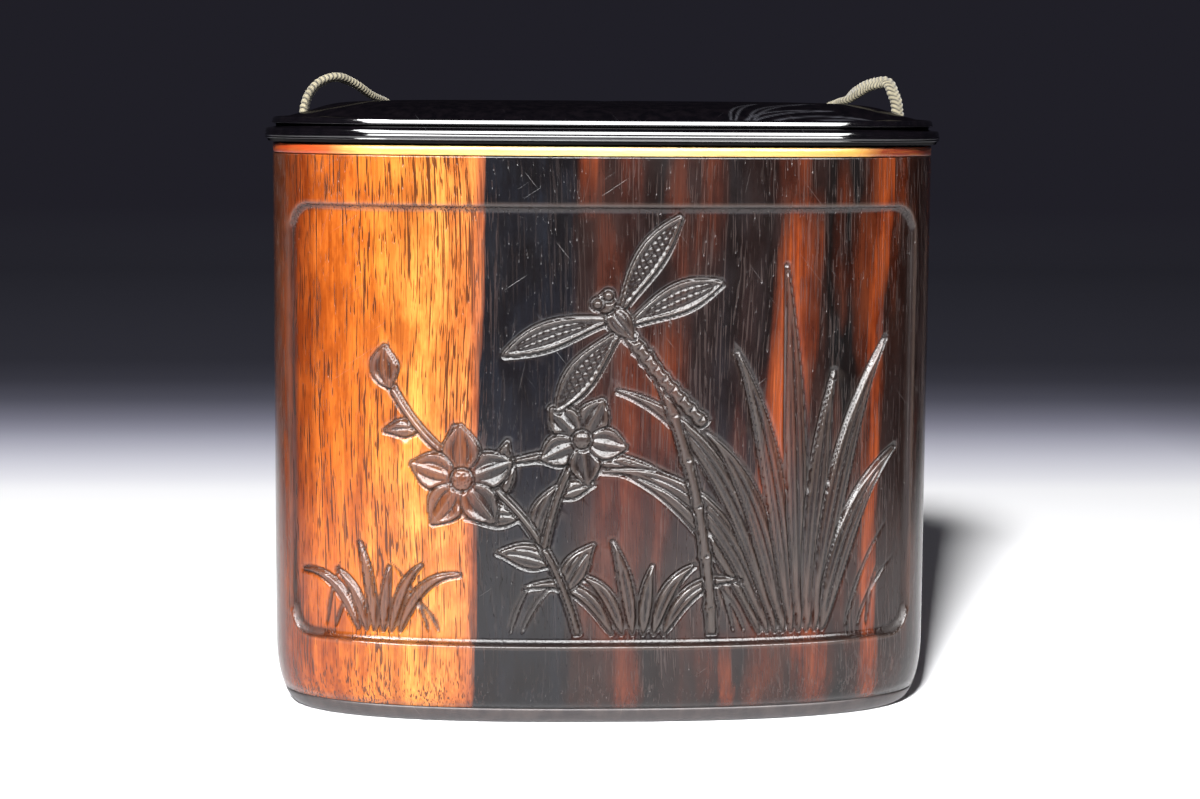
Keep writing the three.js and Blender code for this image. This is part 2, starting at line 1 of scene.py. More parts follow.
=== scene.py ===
# A one-compartment inro case: an oval box of striped hardwood with a sunk, carved front panel,
# a pale ring round its mouth, a dark base plate, a glossy black domed lid, and a flat braided
# cord whose two strands come out of the lid and run through a coral bead behind the case.
# Shapes are worked out in millimetres and put into their meshes in metres.

import math

import bpy
import numpy as np
from mathutils import Matrix, Vector


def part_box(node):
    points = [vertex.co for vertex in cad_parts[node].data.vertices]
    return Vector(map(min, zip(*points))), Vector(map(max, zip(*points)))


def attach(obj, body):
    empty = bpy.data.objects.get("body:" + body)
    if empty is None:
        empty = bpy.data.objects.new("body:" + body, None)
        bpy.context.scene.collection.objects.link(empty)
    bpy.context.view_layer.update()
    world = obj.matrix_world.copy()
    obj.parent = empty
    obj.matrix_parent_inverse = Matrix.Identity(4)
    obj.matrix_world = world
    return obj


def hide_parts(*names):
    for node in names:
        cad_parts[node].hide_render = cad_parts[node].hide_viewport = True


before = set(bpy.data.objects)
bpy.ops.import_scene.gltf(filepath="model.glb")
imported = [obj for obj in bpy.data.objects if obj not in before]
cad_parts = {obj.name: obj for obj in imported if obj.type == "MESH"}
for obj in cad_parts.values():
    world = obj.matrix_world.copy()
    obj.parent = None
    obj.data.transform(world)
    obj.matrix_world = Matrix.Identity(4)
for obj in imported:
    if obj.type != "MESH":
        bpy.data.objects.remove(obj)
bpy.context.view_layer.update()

MM = 0.001

# The case, its section |x / half width|^power + |y / half depth|^power = 1
case_low, case_high = (np.array(corner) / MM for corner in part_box("case_body"))
CASE_HALF_WIDTH = 45.0
CASE_HALF_DEPTH = 20.0
SECTION_POWER = 2.5
CASE_HEIGHT = case_high[2]
BODY_BOTTOM = case_low[2]
WALL = 3.5
END_WALL = 8.5
CAVITY_FLOOR = 4.0
CAVITY_POWER = 3.0
FOOT_ROUND_WIDTH = 3.0
FOOT_ROUND_HEIGHT = 9.0
GLUE_GAP = 0.1
BAND_HEIGHT = 1.3
BAND_WIDTH = 1.6
BASE_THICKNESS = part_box("base_plate")[1].z / MM

# The sunk front panel, measured round the wall from the middle of the front
PANEL_LEFT = -45.2
PANEL_RIGHT = 44.1
PANEL_BOTTOM = 10.8
PANEL_TOP = 69.1
PANEL_CORNER = 4.0
PANEL_DEPTH = 0.8
PANEL_COVE = 1.2
GROUND_LINE = PANEL_BOTTOM + 1.6

# The carving. An engraved blade has its foot's place, its lean in degrees and its reach
BLADE_RISE = 0.6
PETAL_RISE = 0.7
CUT_WIDTH = 0.48
CUT_DEPTH = 0.45
EDGE_BLEND = 0.13
VEIN_WIDTH = 0.18
WING_CELL = 0.95
ENGRAVED_BLADES = (
    (-24, -30, 11), (-22.5, -44, 8), (-13, 24, 8), (-11.5, 38, 11), (17, -22, 13), (18.5, -34, 9),
    (33, 26, 16), (35, 34, 11), (36.5, 12, 9), (-39, 14, 9), (-37.5, 28, 6.5),
)

# The strokes down the back
STROKE_DEPTH = 0.5
STROKE_ROWS = 5
STROKE_ROW_PITCH = 9.5
STROKE_TOP = 58.0
STROKE_LENGTH = 6.5
STROKE_HALF_WIDTH = 0.75
STROKE_SPACING = 3.1
STROKE_LEAN = 1.3

# The lid: sizes out from the case's outline and up from its own seat
LID_SEAT = CASE_HEIGHT + 0.2
LID_LIP = 0.7
LID_LIP_HEIGHT = 0.3
LID_ROLL = 1.1
LID_ROLL_HEIGHT = 1.2
LID_GROOVE = -0.4
LID_GROOVE_HEIGHT = 0.6
LID_BEAD = 0.2
LID_BEAD_HEIGHT = 0.6
LID_PLAY = 0.4
LID_HOLLOW = 1.2
FLANGE_DEPTH = 3.5
FLANGE_WIDTH = 2.0
DOME_INSET = 0.6
DOME_RISE = 2.95
DOME_EDGE_REACH = 2.2
DOME_CROWN_REACH = 9.0
DOME_FLAT_FROM = 18.0
SADDLE_DEPTH = 0.6
SADDLE_WIDTH = 3.0
LID_HOLE_RADIUS = 1.6
LID_CUT_DEPTH = 0.09
FACE_TILT = math.radians(15)
DOME_POLISH = 0.16

# The cord, the bead and the knot
CORD_WIDTH = 1.7
CORD_THICKNESS = 1.15
BRAID_PITCH = 0.62
CHANNEL_X = CASE_HALF_WIDTH - 4.2
CHANNEL_RADIUS = 1.8
CORD_GROOVE_DEPTH = 1.4
CORD_GROOVE_WIDTH = 2.6
CORD_RISE = 0.75
CORD_BEND = 1.9
BEAD_RADIUS = 10.0
BEAD_HALF_THICKNESS = 7.3
BEAD_HOLE_RADIUS = 2.1
BEAD_DIMPLE = 1.6
BEAD_TILT = math.radians(30)
KNOT_RADIUS = 2.4
KNOT_SCALE = 0.48
KNOT_CORD = 0.74

# How finely the carved wall is cut: broad cells, how many fine ones go to the side of one
# where the carving is, and how far from its middle the front's height map goes
BROAD_CELL = 1.25
FINE_SHARE = 6
FRONT_REACH = 48.0

LID_ROLL_TOP = LID_SEAT + LID_LIP_HEIGHT + LID_ROLL_HEIGHT
LID_BEAD_BOTTOM = LID_ROLL_TOP + LID_GROOVE_HEIGHT
DOME_EDGE = LID_BEAD_BOTTOM + LID_BEAD_HEIGHT


# The camera

def make_camera():
    """The viewpoint of the photograph: nearly level with the lid, a little to the left."""
    distance = 0.36163
    azimuth = math.radians(-3.072)
    height = 0.083475
    pitch = math.radians(6.616)
    roll = math.radians(0.392)
    aside = -0.000196
    focal_pixels = 2622.6
    frame_width = 1200
    camera = bpy.data.objects.new("camera", bpy.data.cameras.new("camera"))
    bpy.context.scene.collection.objects.link(camera)
    camera.data.sensor_width = 36.0
    camera.data.lens = focal_pixels * camera.data.sensor_width / frame_width
    camera.data.clip_start = 0.01
    camera.data.clip_end = 20
    forward = Vector((
        -math.sin(azimuth) * math.cos(pitch),
        math.cos(azimuth) * math.cos(pitch),
        -math.sin(pitch),
    ))
    level = Vector((math.cos(azimuth), math.sin(azimuth), 0))
    upward = level.cross(forward)
    right = math.cos(roll) * level + math.sin(roll) * upward
    up = -math.sin(roll) * level + math.cos(roll) * upward
    turn = Matrix((right, up, -forward)).transposed()
    place = Vector((distance * math.sin(azimuth) + aside, -distance * math.cos(azimuth), height))
    camera.matrix_world = Matrix.Translation(place) @ turn.to_4x4()
    bpy.context.scene.camera = camera


make_camera()


# Meshes from whole arrays

def mesh_object(name, points, groups, material, marks=None, uv=None):
    """A piece from points in millimetres and arrays of faces, one array for each number of
    corners. marks are named numbers, one for each point; uv is a pair for each point."""
    points = np.asarray(points, float)
    corners = np.concatenate([group.ravel() for group in groups]).astype(np.int32)
    counts = np.concatenate([np.full(len(group), group.shape[1]) for group in groups])
    starts = np.concatenate([[0], np.cumsum(counts)[:-1]]).astype(np.int32)
    mesh = bpy.data.meshes.new(name)
    mesh.vertices.add(len(points))
    mesh.vertices.foreach_set("co", (points * MM).astype(np.float32).ravel())
    mesh.loops.add(len(corners))
    mesh.loops.foreach_set("vertex_index", corners)
    mesh.polygons.add(len(starts))
    mesh.polygons.foreach_set("loop_start", starts)
    mesh.polygons.foreach_set("use_smooth", np.ones(len(starts), bool))
    for mark, values in (marks or {}).items():
        layer = mesh.attributes.new(mark, "FLOAT", "POINT")
        layer.data.foreach_set("value", np.asarray(values, np.float32))
    if uv is not None:
        layer = mesh.uv_layers.new(name="UVMap")
        layer.data.foreach_set("uv", np.asarray(uv, np.float32)[corners].ravel())
    mesh.update(calc_edges=True)
    mesh.validate()
    mesh.materials.append(material)
    piece = bpy.data.objects.new(name, mesh)
    bpy.context.scene.collection.objects.link(piece)
    return piece


def grid_faces(rows, columns, closed=True):
    """Quads of a grid whose points run row by row, each row closed on itself if asked."""
    across = columns if closed else columns - 1
    row, column = np.meshgrid(np.arange(rows - 1), np.arange(across), indexing="ij")
    following = (column + 1) % columns
    low = row * columns
    return np.stack([low + column, low + following, low + columns + following,
                     low + columns + column], -1).reshape(-1, 4)


def fan_faces(centre, ring, upward):
    """Triangles from a centre point to a closed ring, facing up or down."""
    following = np.roll(ring, -1)
    middle = np.full(len(ring), centre)
    sides = (ring, following) if upward else (following, ring)
    return np.stack([middle, *sides], -1)


def tube_faces(rows, around):
    """A grid of closed rows and a fan over each end, whose middles are two further points."""
    last = rows * around
    return [grid_faces(rows, around), np.concatenate([
        fan_faces(last, np.arange(around), upward=False),
        fan_faces(last + 1, np.arange(last - around, last), upward=True)])]


def ridge(distance, width):
    """A bell curve across a line: 1 on it, 1/e at the width."""
    return np.exp(-(distance / width) ** 2)


def smooth_step(low, high, value):
    """0 below low, 1 above high, and a smooth cubic between them."""
    share = np.clip((value - low) / (high - low), 0, 1)
    return share * share * (3 - 2 * share)


# The oval section and the distance round it

def oval(half_width, half_depth, power, turn):
    """x = width |cos|^(2/power) and y = depth |sin|^(2/power), each with its sign."""
    c, s = np.cos(turn), np.sin(turn)
    return (half_width * np.sign(c) * np.abs(c) ** (2 / power),
            half_depth * np.sign(s) * np.abs(s) ** (2 / power))


QUARTER_TURNS = math.pi / 2 * (1 - np.linspace(0, 1, 2401))
QUARTER_X, QUARTER_Y = oval(CASE_HALF_WIDTH, CASE_HALF_DEPTH, SECTION_POWER, QUARTER_TURNS)
QUARTER_ALONG = np.concatenate([[0], np.cumsum(np.hypot(np.diff(QUARTER_X), np.diff(QUARTER_Y)))])
QUARTER = QUARTER_ALONG[-1]


def turn_at(along):
    """The turn of the oval at a distance round the case, which starts at the middle of the
    front, grows to the right and comes back there after four quarters."""
    along = np.mod(along, 4 * QUARTER)
    half = np.floor(along / (2 * QUARTER))
    rest = along - half * 2 * QUARTER
    reach = np.minimum(rest, 2 * QUARTER - rest)
    turn = np.interp(reach, QUARTER_ALONG, QUARTER_TURNS)
    first = np.where(rest < QUARTER, -turn, turn)
    return first + math.pi * half


def case_section(turn, inset):
    return oval(CASE_HALF_WIDTH - inset, CASE_HALF_DEPTH - inset, SECTION_POWER, turn)


def cavity_section(turn, inset):
    return oval(CASE_HALF_WIDTH - END_WALL - inset, CASE_HALF_DEPTH - WALL - inset,
                CAVITY_POWER, turn)


def outward(turn):
    """The unit normal of the section, from the gradient of its superellipse."""
    x, y = oval(CASE_HALF_WIDTH, CASE_HALF_DEPTH, SECTION_POWER, turn)
    slope_x = np.sign(x) * np.abs(x) ** (SECTION_POWER - 1) / CASE_HALF_WIDTH ** SECTION_POWER
    slope_y = np.sign(y) * np.abs(y) ** (SECTION_POWER - 1) / CASE_HALF_DEPTH ** SECTION_POWER
    steep = np.hypot(slope_x, slope_y)
    return slope_x / steep, slope_y / steep


def foot_inset(z):
    """How far the rounded lower edge has come in at a height: a quarter of an ellipse."""
    below = np.clip((FOOT_ROUND_HEIGHT - z) / FOOT_ROUND_HEIGHT, 0, 1)
    return FOOT_ROUND_WIDTH * (1 - np.sqrt(1 - below * below))


# The carving, painted form by form into a height map of the front

class Relief:
    """Heights on a lattice of distance round the wall and height up it. rise is above the
    panel's floor, hollow marks what is cut in, and carved marks what the carver worked over."""

    def __init__(self, along, up):
        self.along, self.up = np.meshgrid(along, up, indexing="ij")
        self.rise = np.zeros_like(self.along)
        self.hollow = np.zeros_like(self.along)
        self.carved = np.zeros_like(self.along)

    def window(self, points, margin):
        """The part of the lattice round some points."""
        points = np.asarray(points, float)
        low, high = points.min(0) - margin, points.max(0) + margin
        first = np.searchsorted(self.along[:, 0], [low[0], high[0]])
        second = np.searchsorted(self.up[0], [low[1], high[1]])
        return slice(*first), slice(*second)

    def beside(self, start, bend, end, half_width):
        """The part of the lattice round a curve, and what beside_curve says there."""
        place = self.window([start, bend, end], half_width + 1)
        return place, *beside_curve(self.along[place], self.up[place], start, bend, end)

    def paint(self, place, height, edge):
        """Lays a form over what is there and cuts a line round it. edge is the distance
        outside the form's outline, negative inside it, and both fade into each other there."""
        rise, hollow, carved = self.rise[place], self.hollow[place], self.carved[place]
        form = smooth_step(EDGE_BLEND, -EDGE_BLEND, edge)
        ring = np.clip(1 - edge / CUT_WIDTH, 0, 1)
        rise[:] += form * (height - rise) - (1 - form) * (CUT_DEPTH * ring ** 1.2 + 0.5 * ring * rise)
        # A band just inside the outline is marked hollow too, which the wood darkens as painted shade.
        rim = 0.35 * smooth_step(0.5, 0, -edge)
        hollow[:] += form * (rim - hollow) + (1 - form) * np.maximum(ring - hollow, 0)
        carved[:] = np.maximum(np.maximum(carved, 0.5 * ring), form)

    def score(self, place, line, depth):
        """Cuts fine lines, where line runs from 0 beside a line to 1 on it."""
        self.rise[place] -= depth * line
        self.hollow[place] = np.maximum(self.hollow[place], 0.8 * line)


def bezier(start, bend, end, share):
    """start (1-t)^2 + 2 bend t (1-t) + end t^2, and its direction."""
    start, bend, end = (np.asarray(corner, float) for corner in (start, bend, end))
    share = np.asarray(share, float)[..., None]
    point = start * (1 - share) ** 2 + 2 * bend * share * (1 - share) + end * share ** 2
    way = 2 * (1 - share) * (bend - start) + 2 * share * (end - bend)
    return point, way


def beside_curve(x, y, start, bend, end, samples=36):
    """For each place, its share along the curve, its distance to the left of it, how far it
    lies past an end, and the curve's speed there: the nearest of some samples, made finer
    along the tangent."""
    share = np.linspace(0, 1, samples)
    point, way = bezier(start, bend, end, share)
    gap = (x[..., None] - point[:, 0]) ** 2 + (y[..., None] - point[:, 1]) ** 2
    nearest = gap.argmin(-1)
    off_x = x - point[nearest, 0]
    off_y = y - point[nearest, 1]
    length = np.hypot(way[nearest, 0], way[nearest, 1])
    ahead = (off_x * way[nearest, 0] + off_y * way[nearest, 1]) / length
    aside = (way[nearest, 0] * off_y - way[nearest, 1] * off_x) / length
    exact = share[nearest] + ahead / length
    beyond = np.maximum(exact - 1, -exact) * length
    return np.clip(exact, 0, 1), aside, np.maximum(beyond, 0), length


def fullness(share, widest):
    """sin(pi t^k), with k such that the form is widest at that share of its length."""
    return np.sin(math.pi * share ** (math.log(0.5) / math.log(widest)))


def outline_gap(aside, beyond, half):
    """The distance outside a form from its half width at each place, negative inside it."""
    gap = np.abs(aside) - half
    return np.where((gap < 0) & (beyond == 0), gap, np.hypot(np.maximum(gap, 0), beyond))


def carve_leaf(relief, start, bend, end, half_width, widest=0.4):
    """A blade or a leaf: a crowned ridge pointed at both ends, with a cut along its middle."""
    place, share, aside, beyond, length = relief.beside(start, bend, end, half_width)
    half = 0.09 + half_width * fullness(share, widest) ** 1.1
    edge = outline_gap(aside, beyond, half)
    across = np.clip(aside / half, -1, 1)
    crown = np.sqrt(fullness(share, widest)) * np.sqrt(1 - across ** 2)
    height = BLADE_RISE * min(1, 0.3 + half_width) * (0.45 + 0.55 * crown)
    relief.paint(place, height, edge)
    rib = ridge(aside, 0.2) * smooth_step(0, 0.12, share) * smooth_step(1, 0.8, share)
    relief.score(place, rib * (edge < -0.12) * smooth_step(0.35, 0.8, half), 0.26)
    side_vein = ridge(np.abs(aside) - 0.58 * half, VEIN_WIDTH) * smooth_step(0.8, 1.2, half)
    relief.score(place, side_vein * smooth_step(0.1, 0.25, share) * smooth_step(0.95, 0.7, share), 0.13)


def carve_stem(relief, start, bend, end, half_width, joints=0):
    """A stem of even width, with a ring at each joint."""
    place, share, aside, beyond, length = relief.beside(start, bend, end, half_width)
    knuckle = 0.0
    if joints:
        knuckle = ridge((np.mod(share * joints, 1) - 0.5) * length / joints, 0.55)
    half = half_width * (1 + 0.35 * knuckle)
    across = np.clip(aside / half, -1, 1)
    height = BLADE_RISE * (0.45 + 0.55 * np.sqrt(1 - across ** 2)) * (1 - 0.2 * (knuckle > 0.9))
    relief.paint(place, height, outline_gap(aside, beyond, half))


def carve_petal(relief, start, bend, end, half_width, widest=0.48):
    """A petal: a dished plate with a turned-up rim, a middle rib and a vein to each side."""
    place, share, aside, beyond, length = relief.beside(start, bend, end, half_width)
    half = 0.2 + half_width * fullness(share, widest)
    edge = outline_gap(aside, beyond, half)
    across = np.clip(np.abs(aside) / half, 0, 1)
    rim = smooth_step(0.55, 0.9, across) * smooth_step(0, 0.2, -edge)
    height = PETAL_RISE * (0.55 + 0.4 * rim + 0.3 * ridge(aside, 0.2))
    relief.paint(place, np.minimum(height, PETAL_RISE), edge)
    vein = ridge((across - 0.42) * half, VEIN_WIDTH) * smooth_step(0.1, 0.3, share)
    relief.score(place, vein * smooth_step(0.85, 0.6, share) * (edge < -0.3), 0.14)


def carve_wing(relief, start, bend, end, half_width, widest=0.6):
    """A wing: a thin plate with a raised outline and a net of fine cells cut into it."""
    place, share, aside, beyond, length = relief.beside(start, bend, end, half_width)
    half = 0.2 + half_width * fullness(share, widest)
    edge = outline_gap(aside, beyond, half)
    height = BLADE_RISE * (0.62 + 0.38 * smooth_step(0.42, 0.12, -edge))
    relief.paint(place, height, edge)
    stagger = np.where(aside > 0, 0.5, 0.0)
    rungs = np.abs(np.mod(share * length / WING_CELL + stagger, 1) - 0.5) * 2 * WING_CELL
    rails = np.minimum(np.abs(aside), np.abs(np.abs(aside) - 0.55 * half))
    net = np.maximum(ridge(rungs, 0.22), ridge(rails, 0.17))
    relief.score(place, net * (edge < -0.35), 0.15)


def carve_boss(relief, centre, radius, rise, dots=0):
    """A low rounded boss, with rings of small pits where it is the heart of a flower."""
    place = relief.window([centre], radius + 1)
    x, y = relief.along[place] - centre[0], relief.up[place] - centre[1]
    reach = np.hypot(x, y)
    height = rise * (0.35 + 0.65 * np.sqrt(np.clip(1 - (reach / radius) ** 2, 0, 1)))
    relief.paint(place, height, reach - radius)
    if dots:
        spoke = np.cos(dots * np.arctan2(y, x)) * np.cos(2 * math.pi * reach / (0.62 * radius))
        relief.score(place, smooth_step(0.2, 0.9, spoke) * (reach < 0.92 * radius), 0.16)


def engrave_blade(relief, start, bend, end, half_width):
    """A blade that is only cut in: a tapered stroke, deepest along its middle."""
    place, share, aside, beyond, length = relief.beside(start, bend, end, half_width)
    half = 0.06 + half_width * fullness(share, 0.3)
    deep = np.clip(1 - np.hypot(aside, beyond) / half, 0, 1) * (relief.carved[place] < 0.6)
    relief.rise[place] -= 0.28 * deep * smooth_step(0, 0.3, half)
    relief.hollow[place] = np.maximum(relief.hollow[place], smooth_step(0, 0.5, deep))


def carve_tuft(relief, root, blades, reach, lean_from, lean_to, spread, droop, half_width):
    """Grass: blades fan out from one root, and lean, droop and differ in length by turns."""
    for blade in range(blades):
        share = blade / (blades - 1)
        lean = math.radians(lean_from + (lean_to - lean_from) * share)
        length = reach * (1 - 0.42 * math.fmod(blade * 0.618, 1))
        foot = np.array([root[0] + spread * (share - 0.5), root[1]])
        bend = foot + 0.62 * length * np.array([math.sin(0.45 * lean), math.cos(0.45 * lean)])
        drop = droop * abs(math.sin(lean))
        tip = foot + length * np.array([math.sin(lean), math.cos(lean) - drop])
        carve_leaf(relief, foot, bend, tip, half_width, 0.36)


def turned(centre, degrees, size):
    """Gives a function that places a point, from its shares of the size along a heading and
    to the left of it."""
    turn = math.radians(degrees)

    def at(reach, off=0.0):
        return (centre[0] + size * (reach * math.cos(turn) - off * math.sin(turn)),
                centre[1] + size * (reach * math.sin(turn) + off * math.cos(turn)))
    return at


def carve_bellflower(relief, centre, radius, turn):
    for petal in range(5):
        at = turned(centre, turn + 72 * petal, radius)
        carve_petal(relief, at(0.1), at(0.55), at(1), 0.31 * radius)
    carve_boss(relief, centre, 0.2 * radius, PETAL_RISE, dots=6)


def carve_leafy_stem(relief, start, bend, end, leaves, leaf_length):
    for index in range(leaves):
        share = 0.12 + 0.72 * (index + 0.5) / leaves
        centre, way = bezier(start, bend, end, share)
        side = 1 if index % 2 else -1
        heading = math.degrees(math.atan2(way[1], way[0])) + side * 52
        at = turned(centre, heading, leaf_length)
        carve_leaf(relief, at(0), at(0.5, -0.12 * side), at(1), 0.2 * leaf_length, 0.42)
    carve_stem(relief, start, bend, end, 0.42)


def carve_dragonfly(relief, centre, heading, size):
    at = turned(centre, heading, size)
    for side in (-1, 1):
        carve_wing(relief, at(0.06), at(0.02, 0.48 * side), at(-0.16, 0.92 * side), 0.11 * size)
        carve_wing(relief, at(0.16), at(0.42, 0.45 * side), at(0.52, 0.98 * side), 0.1 * size)
    carve_stem(relief, at(0.02), at(-0.5, 0.03), at(-1.05, -0.04), 0.045 * size, joints=9)
    carve_leaf(relief, at(0.3), at(0.12), at(-0.08), 0.1 * size, 0.45)
    carve_boss(relief, at(0.33), 0.085 * size, PETAL_RISE)
    for side in (-1, 1):
        carve_boss(relief, at(0.37, 0.06 * side), 0.045 * size, PETAL_RISE)


def carve_front(relief):
    """The front's picture: a leaning reed with a dragonfly, bellflowers and tufts of grass."""
    ground = GROUND_LINE
    carve_tuft(relief, (25, ground), 9, 52, -44, 22, 9, 0.42, 1.35)
    carve_tuft(relief, (4, ground), 6, 15, -50, 46, 7, 0.3, 0.75)
    carve_tuft(relief, (-31, ground), 6, 14, -42, 38, 6, 0.34, 0.5)
    carve_stem(relief, (14, ground), (13, 34), (5, 50), 0.6, joints=6)
    carve_leafy_stem(relief, (-4, ground), (-8, 28), (-18.5, 34), 5, 7.5)
    carve_leafy_stem(relief, (-8.5, 24), (-7, 32), (-4, 36.5), 1, 5)
    carve_leafy_stem(relief, (-15, 32.6), (-24, 36), (-29, 45), 2, 5)
    carve_petal(relief, (-29.2, 45), (-30.6, 47.5), (-30, 50.5), 1.7, 0.5)
    carve_bellflower(relief, (-19.5, 33), 7.2, 20)
    carve_bellflower(relief, (-3.6, 38.4), 6, 62)
    carve_dragonfly(relief, (2.5, 52.5), 128, 15)
    for foot, lean, reach in ENGRAVED_BLADES:
        turn = math.radians(lean)
        bend = foot + 0.55 * reach * math.sin(0.5 * turn), ground + 0.55 * reach * math.cos(0.5 * turn)
        tip = foot + reach * math.sin(turn), ground + reach * math.cos(turn)
        engrave_blade(relief, (foot, ground), bend, tip, 0.42)


def panel_sink(along, up):
    """How deep the panel lies: a cove that is steep at its outline, a rounded rectangle, and
    runs out on the floor."""
    middle = (PANEL_LEFT + PANEL_RIGHT) / 2, (PANEL_BOTTOM + PANEL_TOP) / 2
    half = (PANEL_RIGHT - PANEL_LEFT) / 2, (PANEL_TOP - PANEL_BOTTOM) / 2
    out_x = np.abs(along - middle[0]) - half[0] + PANEL_CORNER
    out_y = np.abs(up - middle[1]) - half[1] + PANEL_CORNER
    corner = np.hypot(np.maximum(out_x, 0), np.maximum(out_y, 0))
    outside = corner + np.minimum(np.maximum(out_x, out_y), 0) - PANEL_CORNER
    inside = np.clip(-outside / PANEL_COVE, 0, 1)
    return PANEL_DEPTH * (1 - (1 - inside) ** 3.2), outside


def blurred(height, reach):
    """The mean over a square of a few lattice steps each way, by sums along both axes."""
    for axis in (0, 1):
        height = np.mean([np.roll(height, step, axis) for step in range(-reach, reach + 1)], axis=0)
    return height


def front_surface(along, up):
    """The front's height over the plain wall, on a lattice, with its three marks: hollow where
    it is cut in or concave and along the panel's cove, which the wood darkens as dirt and
    painted shade; worn where it is convex, which it lightens as a painted highlight; and
    carved. The last array says where the lattice has to be fine."""
    relief = Relief(along, up)
    carve_front(relief)
    sink, outside = panel_sink(relief.along, relief.up)
    within = smooth_step(0, -0.5, outside)
    footing = smooth_step(0.3, 2.6, relief.up - PANEL_BOTTOM)
    height = -sink + relief.rise * within * footing - 0.08 * ridge(outside + 0.12, 0.16)
    proud = height - blurred(height, 3)
    # A painted dark line along the panel's outline, then painted shade in concave places.
    hollow = np.maximum(relief.hollow * within, 0.8 * ridge(outside + 0.15, 0.22))
    hollow = np.clip(hollow + 5 * np.clip(-proud - 0.02, 0, 1), 0, 1)
    # Convex places, which the wood lightens with a painted highlight.
    worn = np.clip(9 * (proud - 0.015), 0, 1)
    from_middle = np.abs(relief.along)
    cove = smooth_step(0, -0.2, outside) * smooth_step(-PANEL_COVE, -0.3 * PANEL_COVE, outside)
    # Painted shade in the panel's cove, darker towards its two ends.
    hollow = np.maximum(hollow, (0.4 + 0.55 * smooth_step(34, 42, from_middle)) * cove)
    # Painted shade over the whole cove in the panel's lower corners, where the gloss is also dulled.
    low_corner = smooth_step(35, 40, from_middle) * smooth_step(19, 14, relief.up)
    whole_cove = smooth_step(0.15, -0.05, outside) * smooth_step(-0.3, 0.2, outside + PANEL_COVE)
    hollow = np.maximum(hollow, low_corner * whole_cove)
    carved = relief.carved * within
    busy = (np.abs(relief.rise) > 0.004) & (outside < 0) | (np.abs(outside + 0.8) < 1.3)
    return height, hollow, worn, carved, busy


def back_surface(along, up):
    """Rows of three short slanted cuts, sharp at the bottom and narrower to one end."""
    x, y = np.meshgrid(along, up, indexing="ij")
    height = np.zeros_like(x)
    for row in range(STROKE_ROWS):
        middle = STROKE_TOP - row * STROKE_ROW_PITCH
        lean = -STROKE_LEAN if row % 2 else STROKE_LEAN
        for place in (-1, 0, 1):
            centre = np.array([place * STROKE_SPACING, middle - place * lean / 2])
            half = STROKE_LENGTH / 2 * (1 - 0.2 * abs(place))
            reach = np.array([lean, half])
            share, aside, beyond, length = beside_curve(x, y, centre + reach, centre, centre - reach)
            width = 0.15 + STROKE_HALF_WIDTH * (1 - 0.7 * share)
            out = np.clip(1 - np.hypot(aside, beyond) / width, 0, 1)
            height = np.minimum(height, -STROKE_DEPTH * out)
    # The strokes are marked hollow, which the wood darkens as dirt and painted shade.
    cut = smooth_step(0, -0.3, height)
    return height, cut, height * 0, cut, height < -0.001


# The case

def spans(stops, cell):
    """Stations between stops, evenly spaced and about a cell apart."""
    parts = [np.linspace(low, high, max(1, round((high - low) / cell)) + 1)[:-1]
             for low, high in zip(stops[:-1], stops[1:])]
    return np.concatenate([*parts, [stops[-1]]])


def finer(stations, share):
    """Each span between stations cut into a number of equal ones."""
    place = np.arange((len(stations) - 1) * share + 1) / share
    return np.interp(place, np.arange(len(stations)), stations)


def case_wall(columns, rows):
    """The outer wall's lattice: heights, marks, and which broad cells are cut finely.
    The lattice starts at the panel's left edge and goes right round the case."""
    fine_columns = finer(columns, FINE_SHARE)
    fine_rows = finer(rows, FINE_SHARE)
    shape = len(fine_columns), len(fine_rows)
    height, hollow, worn, carved = (np.zeros(shape) for part in range(4))
    busy = np.zeros(shape, bool)
    back_width = STROKE_SPACING + STROKE_LEAN + 2
    for centre, reach, surface in ((0.0, FRONT_REACH, front_surface),
                                   (2 * QUARTER, back_width, back_surface)):
        chosen = np.abs(fine_columns - centre) <= reach
        parts = surface(fine_columns[chosen] - centre, fine_rows)
        for whole, part in zip((height, hollow, worn, carved, busy), parts):
            whole[chosen] = part
    cells = np.zeros((len(columns) - 1, len(rows) - 1), bool)
    for across in range(FINE_SHARE + 1):
        for upward in range(FINE_SHARE + 1):
            sample = busy[across:, upward:][::FINE_SHARE, ::FINE_SHARE]
            cells |= sample[:cells.shape[0], :cells.shape[1]]
    cells[:, 0] = cells[:, -1] = False
    return fine_columns, fine_rows, height, np.stack([hollow, worn, carved], -1), cells


